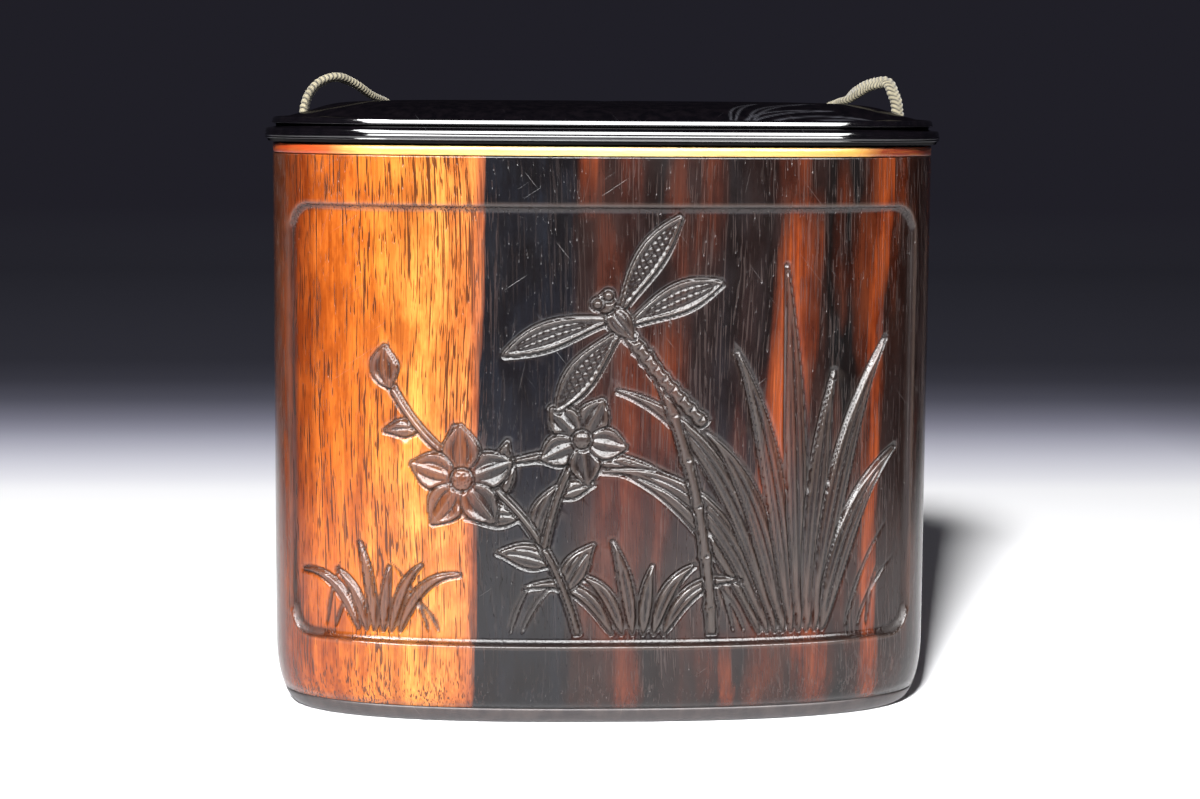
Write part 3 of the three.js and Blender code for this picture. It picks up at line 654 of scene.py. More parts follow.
def lattice_mesh(cells, closed_columns):
    """Which lattice points a wall of broad and fine cells uses, and its faces. A broad cell
    beside a fine one takes that one's points along the shared side, so no crack is left."""
    share = FINE_SHARE
    used = np.zeros((closed_columns, cells.shape[1] * share + 1), bool)
    used[::share, ::share] = True
    column, row = np.nonzero(cells)
    for across in range(share + 1):
        for upward in range(share + 1):
            used[(column * share + across) % closed_columns, row * share + upward] = True
    number = np.cumsum(used.ravel()).reshape(used.shape) - 1

    def at(column, row):
        return number[column % closed_columns, row]

    quads = []
    for across in range(share):
        for upward in range(share):
            x, y = column * share + across, row * share + upward
            quads.append(np.stack([at(x, y), at(x + 1, y), at(x + 1, y + 1), at(x, y + 1)], -1))
    groups = [np.concatenate(quads)]
    beside = np.stack([
        np.pad(cells, ((0, 0), (1, 0)))[:, :-1],
        np.roll(cells, -1, 0),
        np.pad(cells, ((0, 0), (0, 1)))[:, 1:],
        np.roll(cells, 1, 0),
    ])
    kind = (beside * np.array([1, 2, 4, 8])[:, None, None]).sum(0)
    steps = np.arange(share)
    for pattern in range(16):
        column, row = np.nonzero(~cells & (kind == pattern))
        if not len(column):
            continue
        sides = [steps if pattern & bit else steps[:1] for bit in (1, 2, 4, 8)]
        x, y = column[:, None] * share, row[:, None] * share
        corners = [
            at(x + sides[0], y + 0 * sides[0]),
            at(x + share + 0 * sides[1], y + sides[1]),
            at(x + share - sides[2], y + share + 0 * sides[2]),
            at(x + 0 * sides[3], y + share - sides[3]),
        ]
        groups.append(np.concatenate(corners, 1))
    return used, number, groups


def make_case(material):
    """The body: the carved outer wall on its lattice, then plain rings over the mouth, down
    the cavity and under the bottom, all on the wall's broad columns."""
    whole = 4 * QUARTER
    columns = spans([PANEL_LEFT, PANEL_RIGHT, whole + PANEL_LEFT], BROAD_CELL)
    top = CASE_HEIGHT - BAND_HEIGHT - GLUE_GAP
    rows = spans([BODY_BOTTOM, PANEL_BOTTOM, PANEL_TOP, top - 0.2], BROAD_CELL)
    fine_columns, fine_rows, height, marks, cells = case_wall(columns, rows)
    closed = len(fine_columns) - 1
    used, number, groups = lattice_mesh(cells, closed)
    along, up = np.meshgrid(fine_columns[:-1], fine_rows, indexing="ij")
    along, up = along[used], up[used]
    raised = height[:-1][used]
    turn = turn_at(along)
    x, y = case_section(turn, foot_inset(up))
    normal_x, normal_y = outward(turn)
    wall_points = np.stack([x + raised * normal_x, y + raised * normal_y, up], -1)
    ring_turn = turn_at(columns[:-1])
    count = len(ring_turn)
    total = len(wall_points)
    step = BAND_WIDTH + GLUE_GAP
    fillet = [(2 * (1 - math.sin(angle)), 2 * (1 - math.cos(angle)))
              for angle in np.linspace(0, math.pi / 2, 6)]
    floor = BODY_BOTTOM + CAVITY_FLOOR
    rim = [(case_section, 0.0, top - 0.06), (case_section, 0.05, top), (case_section, 0.2, top),
           (case_section, step, top), (case_section, step, CASE_HEIGHT - 0.15),
           (case_section, step + 0.15, CASE_HEIGHT), (cavity_section, -0.3, CASE_HEIGHT),
           (cavity_section, 0.0, CASE_HEIGHT - 0.3)]
    inner = [(cavity_section, 0.0, z) for z in np.linspace(CASE_HEIGHT - 4, floor + 4, 12)]
    inner += [(cavity_section, 2 - aside, floor + down) for aside, down in reversed(fillet)]
    inner += [(cavity_section, inset, floor) for inset in (6.0, 11.0)]
    rings = [ring_points(ring_turn, ring) for ring in rim + inner]
    wall_top = number[np.arange(count) * FINE_SHARE, -1]
    wall_bottom = number[np.arange(count) * FINE_SHARE, 0]
    numbers = np.concatenate([wall_top, total + np.arange(count * len(rings))])
    faces = numbers[grid_faces(len(rings) + 1, count)]
    centre = total + count * len(rings)
    fans = np.concatenate([
        fan_faces(centre, numbers[-count:], upward=True),
        fan_faces(centre + 1, wall_bottom, upward=False),
    ])
    points = np.concatenate([wall_points, *rings, [[0, 0, floor], [0, 0, BODY_BOTTOM]]])
    marks = np.concatenate([marks[:-1][used], np.zeros((len(points) - total, 3))])
    return mesh_object("case_carved", points, [*groups, faces, fans], material,
                       dict(zip(("hollow", "worn", "carved"), marks.T)))


def ring_points(turn, ring):
    """The points of a closed ring, which is a section function, an inset and a height."""
    section, inset, z = ring
    return np.stack([*section(turn, inset), np.full(len(turn), z)], -1)


def ring_surface(name, turn, rings, material, closed_profile=False, lift=None, marks=None):
    """A piece from closed rings. Its profile closes on itself, or each end is closed by a fan
    to its middle. lift may change the rings' points before that."""
    points = np.concatenate([ring_points(turn, ring) for ring in rings])
    if lift is not None:
        points = lift(points)
    if closed_profile:
        groups = [grid_faces(len(rings) + 1, len(turn)) % len(points)]
    else:
        groups = tube_faces(len(rings), len(turn))
        points = np.concatenate([points, [[0, 0, points[0, 2]], [0, 0, points[-1, 2]]]])
    return mesh_object(name, points, groups, material, marks)


def make_rim_band(material):
    """The ring let in round the mouth: a square profile with its two outer edges taken off."""
    turn = turn_at(np.linspace(0, 4 * QUARTER, 361)[:-1])
    low, high = CASE_HEIGHT - BAND_HEIGHT, CASE_HEIGHT
    arris = 0.12
    rings = [(case_section, BAND_WIDTH, low), (case_section, arris, low),
             (case_section, 0.0, low + arris), (case_section, 0.0, high - arris),
             (case_section, arris, high), (case_section, BAND_WIDTH, high)]
    return ring_surface("mouth_ring", turn, rings, material, closed_profile=True)


def cut_away(piece, cutters):
    """Takes cutters out of a piece with a boolean, applied to its mesh, and deletes them."""
    for cutter in cutters:
        cut = piece.modifiers.new("cut", "BOOLEAN")
        cut.object = cutter
        cut.operation = "DIFFERENCE"
        cut.solver = "EXACT"
    shown = piece.evaluated_get(bpy.context.evaluated_depsgraph_get())
    mesh = bpy.data.meshes.new_from_object(shown)
    mesh.name = piece.name
    piece.modifiers.clear()
    piece.data = mesh
    for cutter in cutters:
        bpy.data.objects.remove(cutter)


def upright_hole(x, radius, low, high, flare=0.0):
    """A round cutter, wider at its top by the flare, whose outline is a circle."""
    around = 48
    turn = np.linspace(0, 2 * math.pi, around + 1)[:-1]
    sizes = [(radius, low), (radius, high)]
    if flare:
        sizes = [(radius, low), (radius, high - 3 * flare), (radius + flare, high - flare),
                 (radius + 3 * flare, high)]
    points = [np.stack([x + size * np.cos(turn), size * np.sin(turn), np.full(around, z)], -1)
              for size, z in sizes]
    points = np.concatenate([*points, [[x, 0, low], [x, 0, high]]])
    return mesh_object("cutter", points, tube_faces(len(sizes), around), None)


def make_base_plate(material):
    """The plate: its outer edge is the foot's quarter ellipse, and a groove for the cord
    joins its two holes underneath."""
    turn = turn_at(np.linspace(0, 4 * QUARTER, 361)[:-1])
    first = 0.12
    heights = BASE_THICKNESS * (1 - np.cos(np.linspace(0, math.pi / 2, 7)))
    rings = [(case_section, foot_inset(0.0) + 0.35, 0.0)]
    rings += [(case_section, foot_inset(z + first), z + first) for z in heights[:-1]]
    rings += [(case_section, foot_inset(BASE_THICKNESS) + 0.1, BASE_THICKNESS)]
    plate = ring_surface("foot_plate", turn, rings, material)
    side = CORD_GROOVE_WIDTH / 2
    box = np.array([[x, y, z] for z in (-1, CORD_GROOVE_DEPTH) for y in (-side, side)
                    for x in (-CHANNEL_X, CHANNEL_X)])
    sides = np.array([[0, 2, 3, 1], [4, 5, 7, 6], [0, 1, 5, 4], [2, 6, 7, 3], [0, 4, 6, 2], [1, 3, 7, 5]])
    groove = mesh_object("cutter", box, [sides], None)
    holes = [upright_hole(x, CHANNEL_RADIUS, -1, BASE_THICKNESS + 1) for x in (-CHANNEL_X, CHANNEL_X)]
    cut_away(plate, [groove, *holes])
    return plate


# The lid

def dome_height(x, y):
    """A crown that rises from its edge with the distance inward, first quickly and then
    slowly, r (1 - e^(-d/a)) + s (1 - e^(-d/b)), and is flat in the middle, less a low saddle
    across each end where the cord comes out."""
    half_width, half_depth = CASE_HALF_WIDTH - DOME_INSET, CASE_HALF_DEPTH - DOME_INSET
    across, deep = np.abs(x) / half_width, np.abs(y) / half_depth
    out = (across ** SECTION_POWER + deep ** SECTION_POWER) ** (1 / SECTION_POWER)
    out = np.clip(out, 1e-3, 1)
    steep = np.hypot((across / out) ** (SECTION_POWER - 1) / half_width,
                     (deep / out) ** (SECTION_POWER - 1) / half_depth)
    inward = (1 - out) / np.maximum(steep, 1e-6)
    inward = inward / (1 + (inward / DOME_FLAT_FROM) ** 4) ** 0.25

    def shape(distance):
        edge = 1 - np.exp(-distance / DOME_EDGE_REACH)
        crown = 1 - np.exp(-distance / DOME_CROWN_REACH)
        return edge + crown

    crown = DOME_RISE * shape(inward) / shape(DOME_FLAT_FROM)
    saddle = SADDLE_DEPTH * ridge(np.abs(x) - CHANNEL_X, SADDLE_WIDTH)
    return DOME_EDGE + crown - saddle * np.minimum(1, crown)


LID_BLADES = (
    ((17, -19), (21, -14.5), (30, -12.5)),
    ((19, -19), (26, -15.5), (37, -13)),
    ((22, -19), (27, -17.2), (34.5, -16.4)),
    ((16, -19), (16, -14), (20, -9)),
    ((18, -19), (20, -12), (28, -7)),
)


def lid_cut(x, y):
    """Blades of grass engraved on the lid's right front: two fine lines to each blade."""
    cut = np.zeros_like(x)
    near = (x > 12) & (y < -3)
    for start, bend, end in LID_BLADES:
        share, aside, beyond, length = beside_curve(x[near], y[near], start, bend, end)
        half = 0.5 * np.sin(math.pi * share ** 0.7)
        line = ridge(np.abs(aside) - half, 0.12) * (beyond == 0)
        cut[near] = np.maximum(cut[near], line)
    return cut


def lid_moulding():
    """The edge's profile from the seat up, as insets and heights: a lip, a small bead, the
    roll, the groove and the bead, with a leaning face on the roll and on the bead."""
    def moulded_face(inset, low, height):
        """A face that leans back a little and bows out between its two rounded edges."""
        return [(inset + rise * math.tan(FACE_TILT) + 1.6 * (rise - height / 2) ** 4 / height ** 3,
                 low + rise) for rise in np.linspace(0, height, 9)]

    edge = [(-LID_LIP + 0.15, 0), (-LID_LIP, 0.06), (-LID_LIP, 0.3)]
    edge += [(-LID_ROLL + 0.2 * (1 - math.cos(angle)), 0.52 + 0.12 * math.sin(angle))
             for angle in np.linspace(-1.5, 1.2, 9)]
    edge += [(-LID_ROLL + 0.04, 0.72), (-LID_ROLL - 0.02, 1.0)]
    edge += moulded_face(-LID_ROLL + 0.02, 1.18, 0.62)
    edge += [(-0.45, 1.82), (0.1, 1.86), (-LID_GROOVE, 1.96), (-LID_GROOVE, 2.3), (0.15, 2.36)]
    edge += moulded_face(-LID_BEAD, 2.4, 0.8)
    return edge + [(0.35, 3.24)]


def make_lid(material):
    """The lid: a hollow underside with its flange, the moulded edge, and a dome of scaled
    sections lifted by dome_height. It is polished most on the mouldings that stand out."""
    front = spans([10.0, 54.0], 0.27)
    rest = spans([54.0, 4 * QUARTER + 10.0], 0.85)
    turn = turn_at(np.concatenate([front[:-1], rest[:-1]]))
    ceiling = LID_SEAT + LID_HOLLOW
    flange = LID_SEAT - FLANGE_DEPTH
    inside = LID_PLAY + FLANGE_WIDTH
    under = [(inside + 8, ceiling), (inside + 4, ceiling), (inside + 0.5, ceiling),
             (inside, ceiling - 0.5), (inside, flange + 0.3), (inside - 0.3, flange),
             (LID_PLAY + 0.3, flange), (LID_PLAY, flange + 0.3), (LID_PLAY, LID_SEAT - 0.3),
             (LID_PLAY - 0.3, LID_SEAT)]
    edge = lid_moulding()
    shares = np.concatenate([np.linspace(0.965, 0.95, 4), np.linspace(0.94, 0.38, 46),
                             np.linspace(0.35, 0.05, 9)])
    dome_mark = DOME_EDGE + 1

    def dome_section(share):
        def section(turn, inset):
            return oval(share * (CASE_HALF_WIDTH - DOME_INSET), share * (CASE_HALF_DEPTH - DOME_INSET),
                        SECTION_POWER, turn)
        return section

    def lift(points):
        dome = points[:, 2] == dome_mark
        x, y = points[dome, 0], points[dome, 1]
        points[dome, 2] = dome_height(x, y) - LID_CUT_DEPTH * lid_cut(x, y)
        return points

    rings = [(cavity_section, inset, z) for inset, z in under]
    rings += [(case_section, inset, LID_SEAT + z) for inset, z in edge]
    plain = len(rings) * len(turn)
    dome_rings = [(dome_section(share), 0, dome_mark) for share in shares]
    polish = [0.0] * len(under) + [1.0 if inset < 0.1 and z > 0.44 else 0.1 for inset, z in edge]
    counts = [len(turn)] * (len(rings) + len(shares)) + [2]
    polish = np.repeat(polish + [DOME_POLISH] * (len(shares) + 1), counts)
    dome_x, dome_y = np.concatenate([ring_points(turn, ring)[:, :2] for ring in dome_rings]).T
    cut = np.concatenate([np.zeros(plain), lid_cut(dome_x, dome_y), [0, 0]])
    lid = ring_surface("lid_black", turn, rings + dome_rings, material, lift=lift,
                       marks={"polish": polish, "carved": cut})
    cut_away(lid, [upright_hole(x, LID_HOLE_RADIUS - 0.2, LID_SEAT - 1, dome_height(x, 0) + 0.12, 0.14)
                   for x in (-CHANNEL_X, CHANNEL_X)])
    return lid


# The cord, the bead and the knot

LEFT_STRAND = [
    (-40.8, 0, 79.8), (-40.8, 0, 81.4), (-40.3, 0.2, 83.1), (-39.2, 0.8, 84.6), (-37.9, 1.6, 85.4),
    (-36.5, 2.7, 85.7), (-34.9, 4.6, 85.2), (-33.7, 6.2, 84.5), (-32.2, 8.9, 83.4), (-31.1, 11.6, 82.8),
    (-30.3, 14.4, 82.3), (-29.8, 17.1, 81.2), (-29.5, 18.9, 78.4), (-29.3, 19.3, 73),
    (-28.8, 19.7, 63), (-27.6, 20.2, 53), (-25.4, 21.1, 43.6), (-21.8, 22.2, 34.4),
    (-16.8, 23.8, 26), (-10.8, 25.8, 19.6), (-4.4, 28, 15.6),
]
RIGHT_STRAND = [
    (40.8, 0, 79.8), (40.6, 0, 81.4), (40.4, 0.1, 82.9), (40, 0.4, 84), (39.7, 0.9, 85),
    (39.2, 1.6, 85.5), (38.2, 2.9, 85.4), (37.1, 4.5, 85), (36.1, 6.1, 84.3), (34.9, 8.8, 83.2),
    (34.1, 11.8, 82.6), (33.4, 14.4, 82.1), (32.8, 16.9, 80.9), (32.3, 18.5, 78), (31.8, 19, 72),
    (31, 19.5, 62), (29.6, 20.2, 52), (27.4, 21.1, 42.6), (24, 22.3, 33.6), (19.4, 23.9, 25.8),
    (14, 25.9, 19.8), (8.4, 28, 15.9),
]
BEAD_AXIS = np.array([0, math.cos(BEAD_TILT), -math.sin(BEAD_TILT)])
bead_low, bead_high = (np.array(corner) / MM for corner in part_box("bead"))
BEAD_CENTRE = (bead_low + bead_high) / 2


def along_bead(reach, aside):
    """The place at a reach along the bead's hole from its middle, and to the right of it."""
    return BEAD_CENTRE + reach * BEAD_AXIS + np.array([aside, 0, 0])


def smooth_route(points, spacing):
    """A centripetal Catmull-Rom curve through the points, at an even spacing."""
    points = np.asarray(points, float)
    points = np.concatenate([[2 * points[0] - points[1]], points, [2 * points[-1] - points[-2]]])
    knots = np.concatenate([[0], np.cumsum(np.linalg.norm(np.diff(points, axis=0), axis=1) ** 0.5)])
    found = []
    for first in range(1, len(points) - 2):
        k0, k1, k2, k3 = knots[first - 1:first + 3]
        p0, p1, p2, p3 = points[first - 1:first + 3]
        k = np.linspace(k1, k2, 25)[:-1, None]
        a1 = ((k1 - k) * p0 + (k - k0) * p1) / (k1 - k0)
        a2 = ((k2 - k) * p1 + (k - k1) * p2) / (k2 - k1)
        a3 = ((k3 - k) * p2 + (k - k2) * p3) / (k3 - k2)
        b1 = ((k2 - k) * a1 + (k - k0) * a2) / (k2 - k0)
        b2 = ((k3 - k) * a2 + (k - k1) * a3) / (k3 - k1)
        found.append(((k2 - k) * b1 + (k - k1) * b2) / (k2 - k1))
    curve = np.concatenate([*found, points[-2:-1]])
    along = np.concatenate([[0], np.cumsum(np.linalg.norm(np.diff(curve, axis=0), axis=1))])
    stations = np.linspace(0, along[-1], int(along[-1] / spacing) + 1)
    return np.stack([np.interp(stations, along, curve[:, axis]) for axis in range(3)], -1), stations


def braid_mesh(name, route, stations, flat_ways, material, around=20, relief=0.15):
    """A flat braid: a rounded rectangle carried along the route. Its flat side turns slowly
    from way to way, and the strands stand up as a herringbone, |sin| of the distance along
    less the distance from the middle of the flat side."""
    way = np.gradient(route, stations, axis=0)
    way /= np.linalg.norm(way, axis=1)[:, None]
    stops = np.linspace(0, stations[-1], len(flat_ways))
    flat = np.stack([np.interp(stations, stops, np.array(flat_ways, float)[:, axis])
                     for axis in range(3)], -1)
    flat -= (flat * way).sum(1)[:, None] * way
    flat /= np.linalg.norm(flat, axis=1)[:, None]
    wide = np.cross(way, flat)
    turn = np.linspace(0, 2 * math.pi, around + 1)[:-1]
    aside, out = oval(CORD_WIDTH / 2 - relief, CORD_THICKNESS / 2 - relief, 2.8, turn)
    phase = stations[:, None] / BRAID_PITCH - np.abs(aside)[None, :] / (1.6 * BRAID_PITCH)
    strand = np.abs(np.sin(math.pi * phase)) ** 0.8
    middle = 1 - 0.5 * ridge(aside, 0.14)[None, :]
    swell = 1 + relief / 0.55 * strand * middle
    points = (route[:, None, :] + (swell * aside)[..., None] * wide[:, None, :]
              + (swell * out)[..., None] * flat[:, None, :])
    points = np.concatenate([points.reshape(-1, 3), route[:1], route[-1:]])
    uv = np.stack(np.broadcast_arrays(stations[:, None], aside[None, :]), -1).reshape(-1, 2)
    uv = np.concatenate([uv, [[0, 0], [stations[-1], 0]]])
    # The low places between the strands, which the braid material darkens as painted shade.
    gap = np.concatenate([(1 - strand).ravel(), [1, 1]])
    return mesh_object(name, points, tube_faces(len(stations), around), material,
                       {"hollow": gap}, uv)


def make_strand(name, points, side, material):
    """A free strand: over the lid, down the back, through the bead and into the knot."""
    aside = 0.56 * CORD_WIDTH * side
    ends = [along_bead(reach, share * aside) for reach, share in (
        (-BEAD_HALF_THICKNESS - 1.5, 1.2), (-0.5 * BEAD_HALF_THICKNESS, 1), (0.6 * BEAD_HALF_THICKNESS, 1),
        (BEAD_HALF_THICKNESS + 0.2, 0.9), (BEAD_HALF_THICKNESS + 1.5, 0.7),
        (BEAD_HALF_THICKNESS + 2.9, 0.5))]
    route, stations = smooth_route(list(points) + ends, 0.11)
    start_ways = [(-1, 0.3, 0.2), (0.5, 0.1, 1)] if side < 0 else [(0.5, -1, 0.1), (0.2, -1, 0.5)]
    flat_ways = start_ways + [(0, 0.5, 1), (0, 1, 0.6), (0, 1, 0.1), (0, 1, 0.1), (0, 1, 0.2),
                              (0, 0.9, 0.6), (0.3 * side, 0.5, 0.87)]
    strand = braid_mesh(name, route, stations, flat_ways, material)
    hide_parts("cord_left" if side < 0 else "cord_right")
    return strand, route, stations


def make_held_cord(material):
    """The braid inside the case: down one channel, round a bend, across the groove
    underneath, and up the other side."""
    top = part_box("cord_held")[1].z / MM
    turn_in = CHANNEL_X - CORD_BEND
    corner = [(math.sin(angle), math.cos(angle)) for angle in np.linspace(0, math.pi / 2, 7)]
    left = [(-CHANNEL_X, 0, z) for z in np.linspace(top, CORD_RISE + CORD_BEND, 12)[:-1]]
    left += [(-turn_in - CORD_BEND * c, 0, CORD_RISE + CORD_BEND * (1 - s)) for s, c in corner]
    left += [(x, 0, CORD_RISE) for x in np.linspace(-turn_in, 0, 8)[1:]]
    route = left + [(-x, y, z) for x, y, z in reversed(left[:-1])]
    route, stations = smooth_route(route, 0.42)
    flat_ways = [(1, 0, 1), (1, 0, 1), (-1, 0, 1), (-1, 0, 1)]
    return braid_mesh("cord_inside", route, stations, flat_ways, material, 12, 0.05)


def make_bead(material):
    """A flattened ball about its hole, dimpled where the cord goes in and out: half an
    ellipse outside, a rounded lip, and a straight bore."""
    brim = BEAD_HOLE_RADIUS + BEAD_DIMPLE
    brim_turn = math.asin(brim / BEAD_RADIUS)
    turn = np.linspace(brim_turn, math.pi - brim_turn, 61)
    outer = np.stack([BEAD_RADIUS * np.sin(turn), BEAD_HALF_THICKNESS * np.cos(turn)], -1)
    lip_height = outer[0, 1]
    slope = np.linspace(0, 1, 9)[1:]
    lip = np.stack([brim - BEAD_DIMPLE * slope, lip_height - BEAD_DIMPLE * slope ** 2], -1)
    profile = np.concatenate([outer, lip * [1, -1], lip[::-1]])
    angle = np.linspace(0, 2 * math.pi, 121)[:-1]
    across = np.array([1.0, 0, 0])
    upward = np.cross(BEAD_AXIS, across)
    rim = np.cos(angle)[:, None] * across + np.sin(angle)[:, None] * upward
    points = (BEAD_CENTRE + profile[:, None, 1:] * -BEAD_AXIS
              + profile[:, None, :1] * rim[None, :, :]).reshape(-1, 3)
    faces = grid_faces(len(profile) + 1, len(angle)) % len(points)
    return mesh_object("coral_bead", points, [faces[:, ::-1]], material)


def make_knot(material):
    """The knot behind the bead: a round cord carried round a trefoil,
    (sin t + 2 sin 2t, cos t - 2 cos 2t, -1.1 sin 3t), the last of them along the bead's hole."""
    centre = along_bead(BEAD_HALF_THICKNESS + 0.5 + KNOT_RADIUS, 0)
    stops, sides = 240, 16
    turn = np.linspace(0, 2 * math.pi, stops + 1)[:-1]
    loop = np.stack([np.sin(turn) + 2 * np.sin(2 * turn), -1.1 * np.sin(3 * turn),
                     np.cos(turn) - 2 * np.cos(2 * turn)], -1) * KNOT_SCALE
    tilt = np.stack([[1, 0, 0], BEAD_AXIS, np.cross([1, 0, 0], BEAD_AXIS)])
    route = loop @ tilt + centre
    way = np.roll(route, -1, 0) - np.roll(route, 1, 0)
    way /= np.linalg.norm(way, axis=1)[:, None]
    side = np.cross(way, BEAD_AXIS)
    side /= np.linalg.norm(side, axis=1)[:, None]
    out = np.cross(way, side)
    around = np.linspace(0, 2 * math.pi, sides + 1)[:-1]
    points = (route[:, None, :] + KNOT_CORD * np.cos(around)[None, :, None] * side[:, None, :]
              + KNOT_CORD * np.sin(around)[None, :, None] * out[:, None, :]).reshape(-1, 3)
    faces = grid_faces(stops + 1, sides) % len(points)
    uv = np.stack(np.broadcast_arrays(np.arange(stops)[:, None] * 0.16, 0.8 * np.cos(around)[None, :]), -1)
    return mesh_object("end_knot", points, [faces], material,
                       {"hollow": np.zeros(len(points))}, uv.reshape(-1, 2))


# Materials

def put(tree, kind, inputs=None, **settings):
    """A node, with its settings and its inputs, each a value or another node's output."""
    made = tree.nodes.new(kind)
    for name, value in settings.items():
        setattr(made, name, value)
    for name, value in (inputs or {}).items():
        if isinstance(value, bpy.types.NodeSocket):
            tree.links.new(value, made.inputs[name])
        else:
            made.inputs[name].default_value = value
    return made


def maths(tree, operation, *values, clamp=False):
    node = put(tree, "ShaderNodeMath", dict(enumerate(values)), operation=operation)
    node.use_clamp = clamp
    return node.outputs[0]


def mix(tree, share, first, second, blend="MIX"):
    node = put(tree, "ShaderNodeMix", data_type="RGBA", blend_type=blend)
    for name, value in (("Factor", share), ("A", first), ("B", second)):
        socket = next(s for s in node.inputs if s.name == name and s.enabled)
        if isinstance(value, bpy.types.NodeSocket):
            tree.links.new(value, socket)
        else:
            socket.default_value = value
    return next(s for s in node.outputs if s.enabled)


def ramp(tree, value, stops, interpolation="LINEAR"):
    """A colour ramp from (place, colour) pairs."""
    node = put(tree, "ShaderNodeValToRGB", {"Fac": value})
    band = node.color_ramp
    band.interpolation = interpolation
    while len(band.elements) > 1:
        band.elements.remove(band.elements[-1])
    band.elements[0].position, band.elements[0].color = stops[0][0], (*stops[0][1], 1)
    for place, colour in stops[1:]:
        band.elements.new(place).color = (*colour, 1)
    return node.outputs["Color"]


def between(tree, value, low, high, to_low=0.0, to_high=1.0):
    node = put(tree, "ShaderNodeMapRange", {
        "Value": value, "From Min": low, "From Max": high, "To Min": to_low, "To Max": to_high})
    return node.outputs["Result"]


def noise(tree, place, scale, detail=3.0, roughness=0.5):
    return put(tree, "ShaderNodeTexNoise", {
        "Vector": place, "Scale": scale, "Detail": detail, "Roughness": roughness}).outputs["Fac"]


def scaled(tree, place, scale):
    return put(tree, "ShaderNodeMapping", {"Vector": place, "Scale": scale}).outputs["Vector"]


def node_group(name, inputs, outputs, build):
    """A shader group of named number inputs and outputs, filled in by build."""
    tree = bpy.data.node_groups.new(name, "ShaderNodeTree")
    for label, value in inputs.items():
        socket = tree.interface.new_socket(label, in_out="INPUT", socket_type="NodeSocketFloat")
        socket.default_value = value
    for label, kind in outputs.items():
        tree.interface.new_socket(label, in_out="OUTPUT", socket_type=kind)
    entry = tree.nodes.new("NodeGroupInput")
    leave = tree.nodes.new("NodeGroupOutput")
    for label, socket in build(tree, entry.outputs).items():
        tree.links.new(socket, leave.inputs[label])
    return tree


def use(tree, group, **inputs):
    node = put(tree, "ShaderNodeGroup", node_tree=group)
    for label, value in inputs.items():
        socket = node.inputs[label.replace("_", " ")]
        if isinstance(value, bpy.types.NodeSocket):
            tree.links.new(value, socket)
        else:
            socket.default_value = value
    return node.outputs


def build_grain(tree, given):
    """Upright wood grain in object space: fine open pores, fibres, and a slower figure."""
    place = put(tree, "ShaderNodeTexCoord").outputs["Object"]
    bend = noise(tree, scaled(tree, place, (45, 45, 22)), 1.0, 1.0)
    shift = maths(tree, "MULTIPLY", maths(tree, "SUBTRACT", bend, 0.5), 0.004)
    offset = put(tree, "ShaderNodeCombineXYZ", {"X": shift, "Y": 0.0, "Z": 0.0}).outputs[0]
    place = put(tree, "ShaderNodeVectorMath", {0: place, 1: offset}, operation="ADD").outputs[0]
    long_pores = noise(tree, scaled(tree, place, (4000, 4000, 100)), 1.0, 1.0)
    short_pores = noise(tree, scaled(tree, place, (5000, 5000, 330)), 1.0, 1.0)
    crowd = noise(tree, scaled(tree, place, (240, 240, 40)), 1.0, 1.0)
    limit = between(tree, crowd, 0.35, 0.65, 0.66, 0.58)
    limit = maths(tree, "ADD", limit, given["Pore Limit"])
    found = [maths(tree, "MULTIPLY", maths(tree, "SUBTRACT", pores, limit), 22.0, clamp=True)
             for pores in (long_pores, short_pores)]
    figure = noise(tree, scaled(tree, place, (620, 620, 13)), 1.0, 4.0, 0.62)
    fibres = noise(tree, scaled(tree, place, (5200, 5200, 120)), 1.0, 2.0, 0.6)
    return {"Pores": maths(tree, "MAXIMUM", *found), "Figure": figure, "Fibres": fibres}


def build_handling(tree, given):
    """A few fine scratches from handling, and patches where the polish is duller."""
    place = put(tree, "ShaderNodeTexCoord").outputs["Object"]
    dull = noise(tree, place, 90.0, 4.0, 0.6)
    lines = []
    for degrees, seed in ((34, 0.0), (-52, 0.4), (78, 0.8)):
        turned_place = put(tree, "ShaderNodeVectorRotate", {
            "Vector": place, "Angle": math.radians(degrees)}, rotation_type="Y_AXIS").outputs[0]
        way = put(tree, "ShaderNodeMapping", {
            "Vector": turned_place, "Location": (seed, seed, seed), "Scale": (110, 110, 6200)})
        lines.append(between(tree, noise(tree, way.outputs["Vector"], 1.0, 0.0), 0.85, 0.91))
    scratches = maths(tree, "MAXIMUM", maths(tree, "MAXIMUM", *lines[:2]), lines[2])
    return {"Scratches": maths(tree, "MULTIPLY", scratches, given["Scratch Amount"]), "Dull": dull}


def build_relief_wear(tree, given):
    """The mesh's three marks: dirt and painted shade in what is cut in or concave, polish and a
    painted highlight on the edges that stand proud, and the tooled surface of the carving."""
    marks = [put(tree, "ShaderNodeAttribute", attribute_name=name).outputs["Fac"]
             for name in ("hollow", "worn", "carved")]
    return {"Dirt": maths(tree, "MULTIPLY", marks[0], given["Dirt"]),
            "Polish": maths(tree, "MULTIPLY", marks[1], given["Polish"]), "Tooled": marks[2]}


FLOAT = "NodeSocketFloat"
grain_group = node_group("upright_grain", {"Pore Limit": 0.0},
                         {"Pores": FLOAT, "Figure": FLOAT, "Fibres": FLOAT}, build_grain)
handling_group = node_group("handling", {"Scratch Amount": 1.0},
                            {"Scratches": FLOAT, "Dull": FLOAT}, build_handling)
# Its marks carry dirt and painted shade in the hollows, and polish and a painted highlight on proud edges.
wear_group = node_group("relief_wear", {"Dirt": 1.0, "Polish": 1.0},
                        {"Dirt": FLOAT, "Polish": FLOAT, "Tooled": FLOAT}, build_relief_wear)


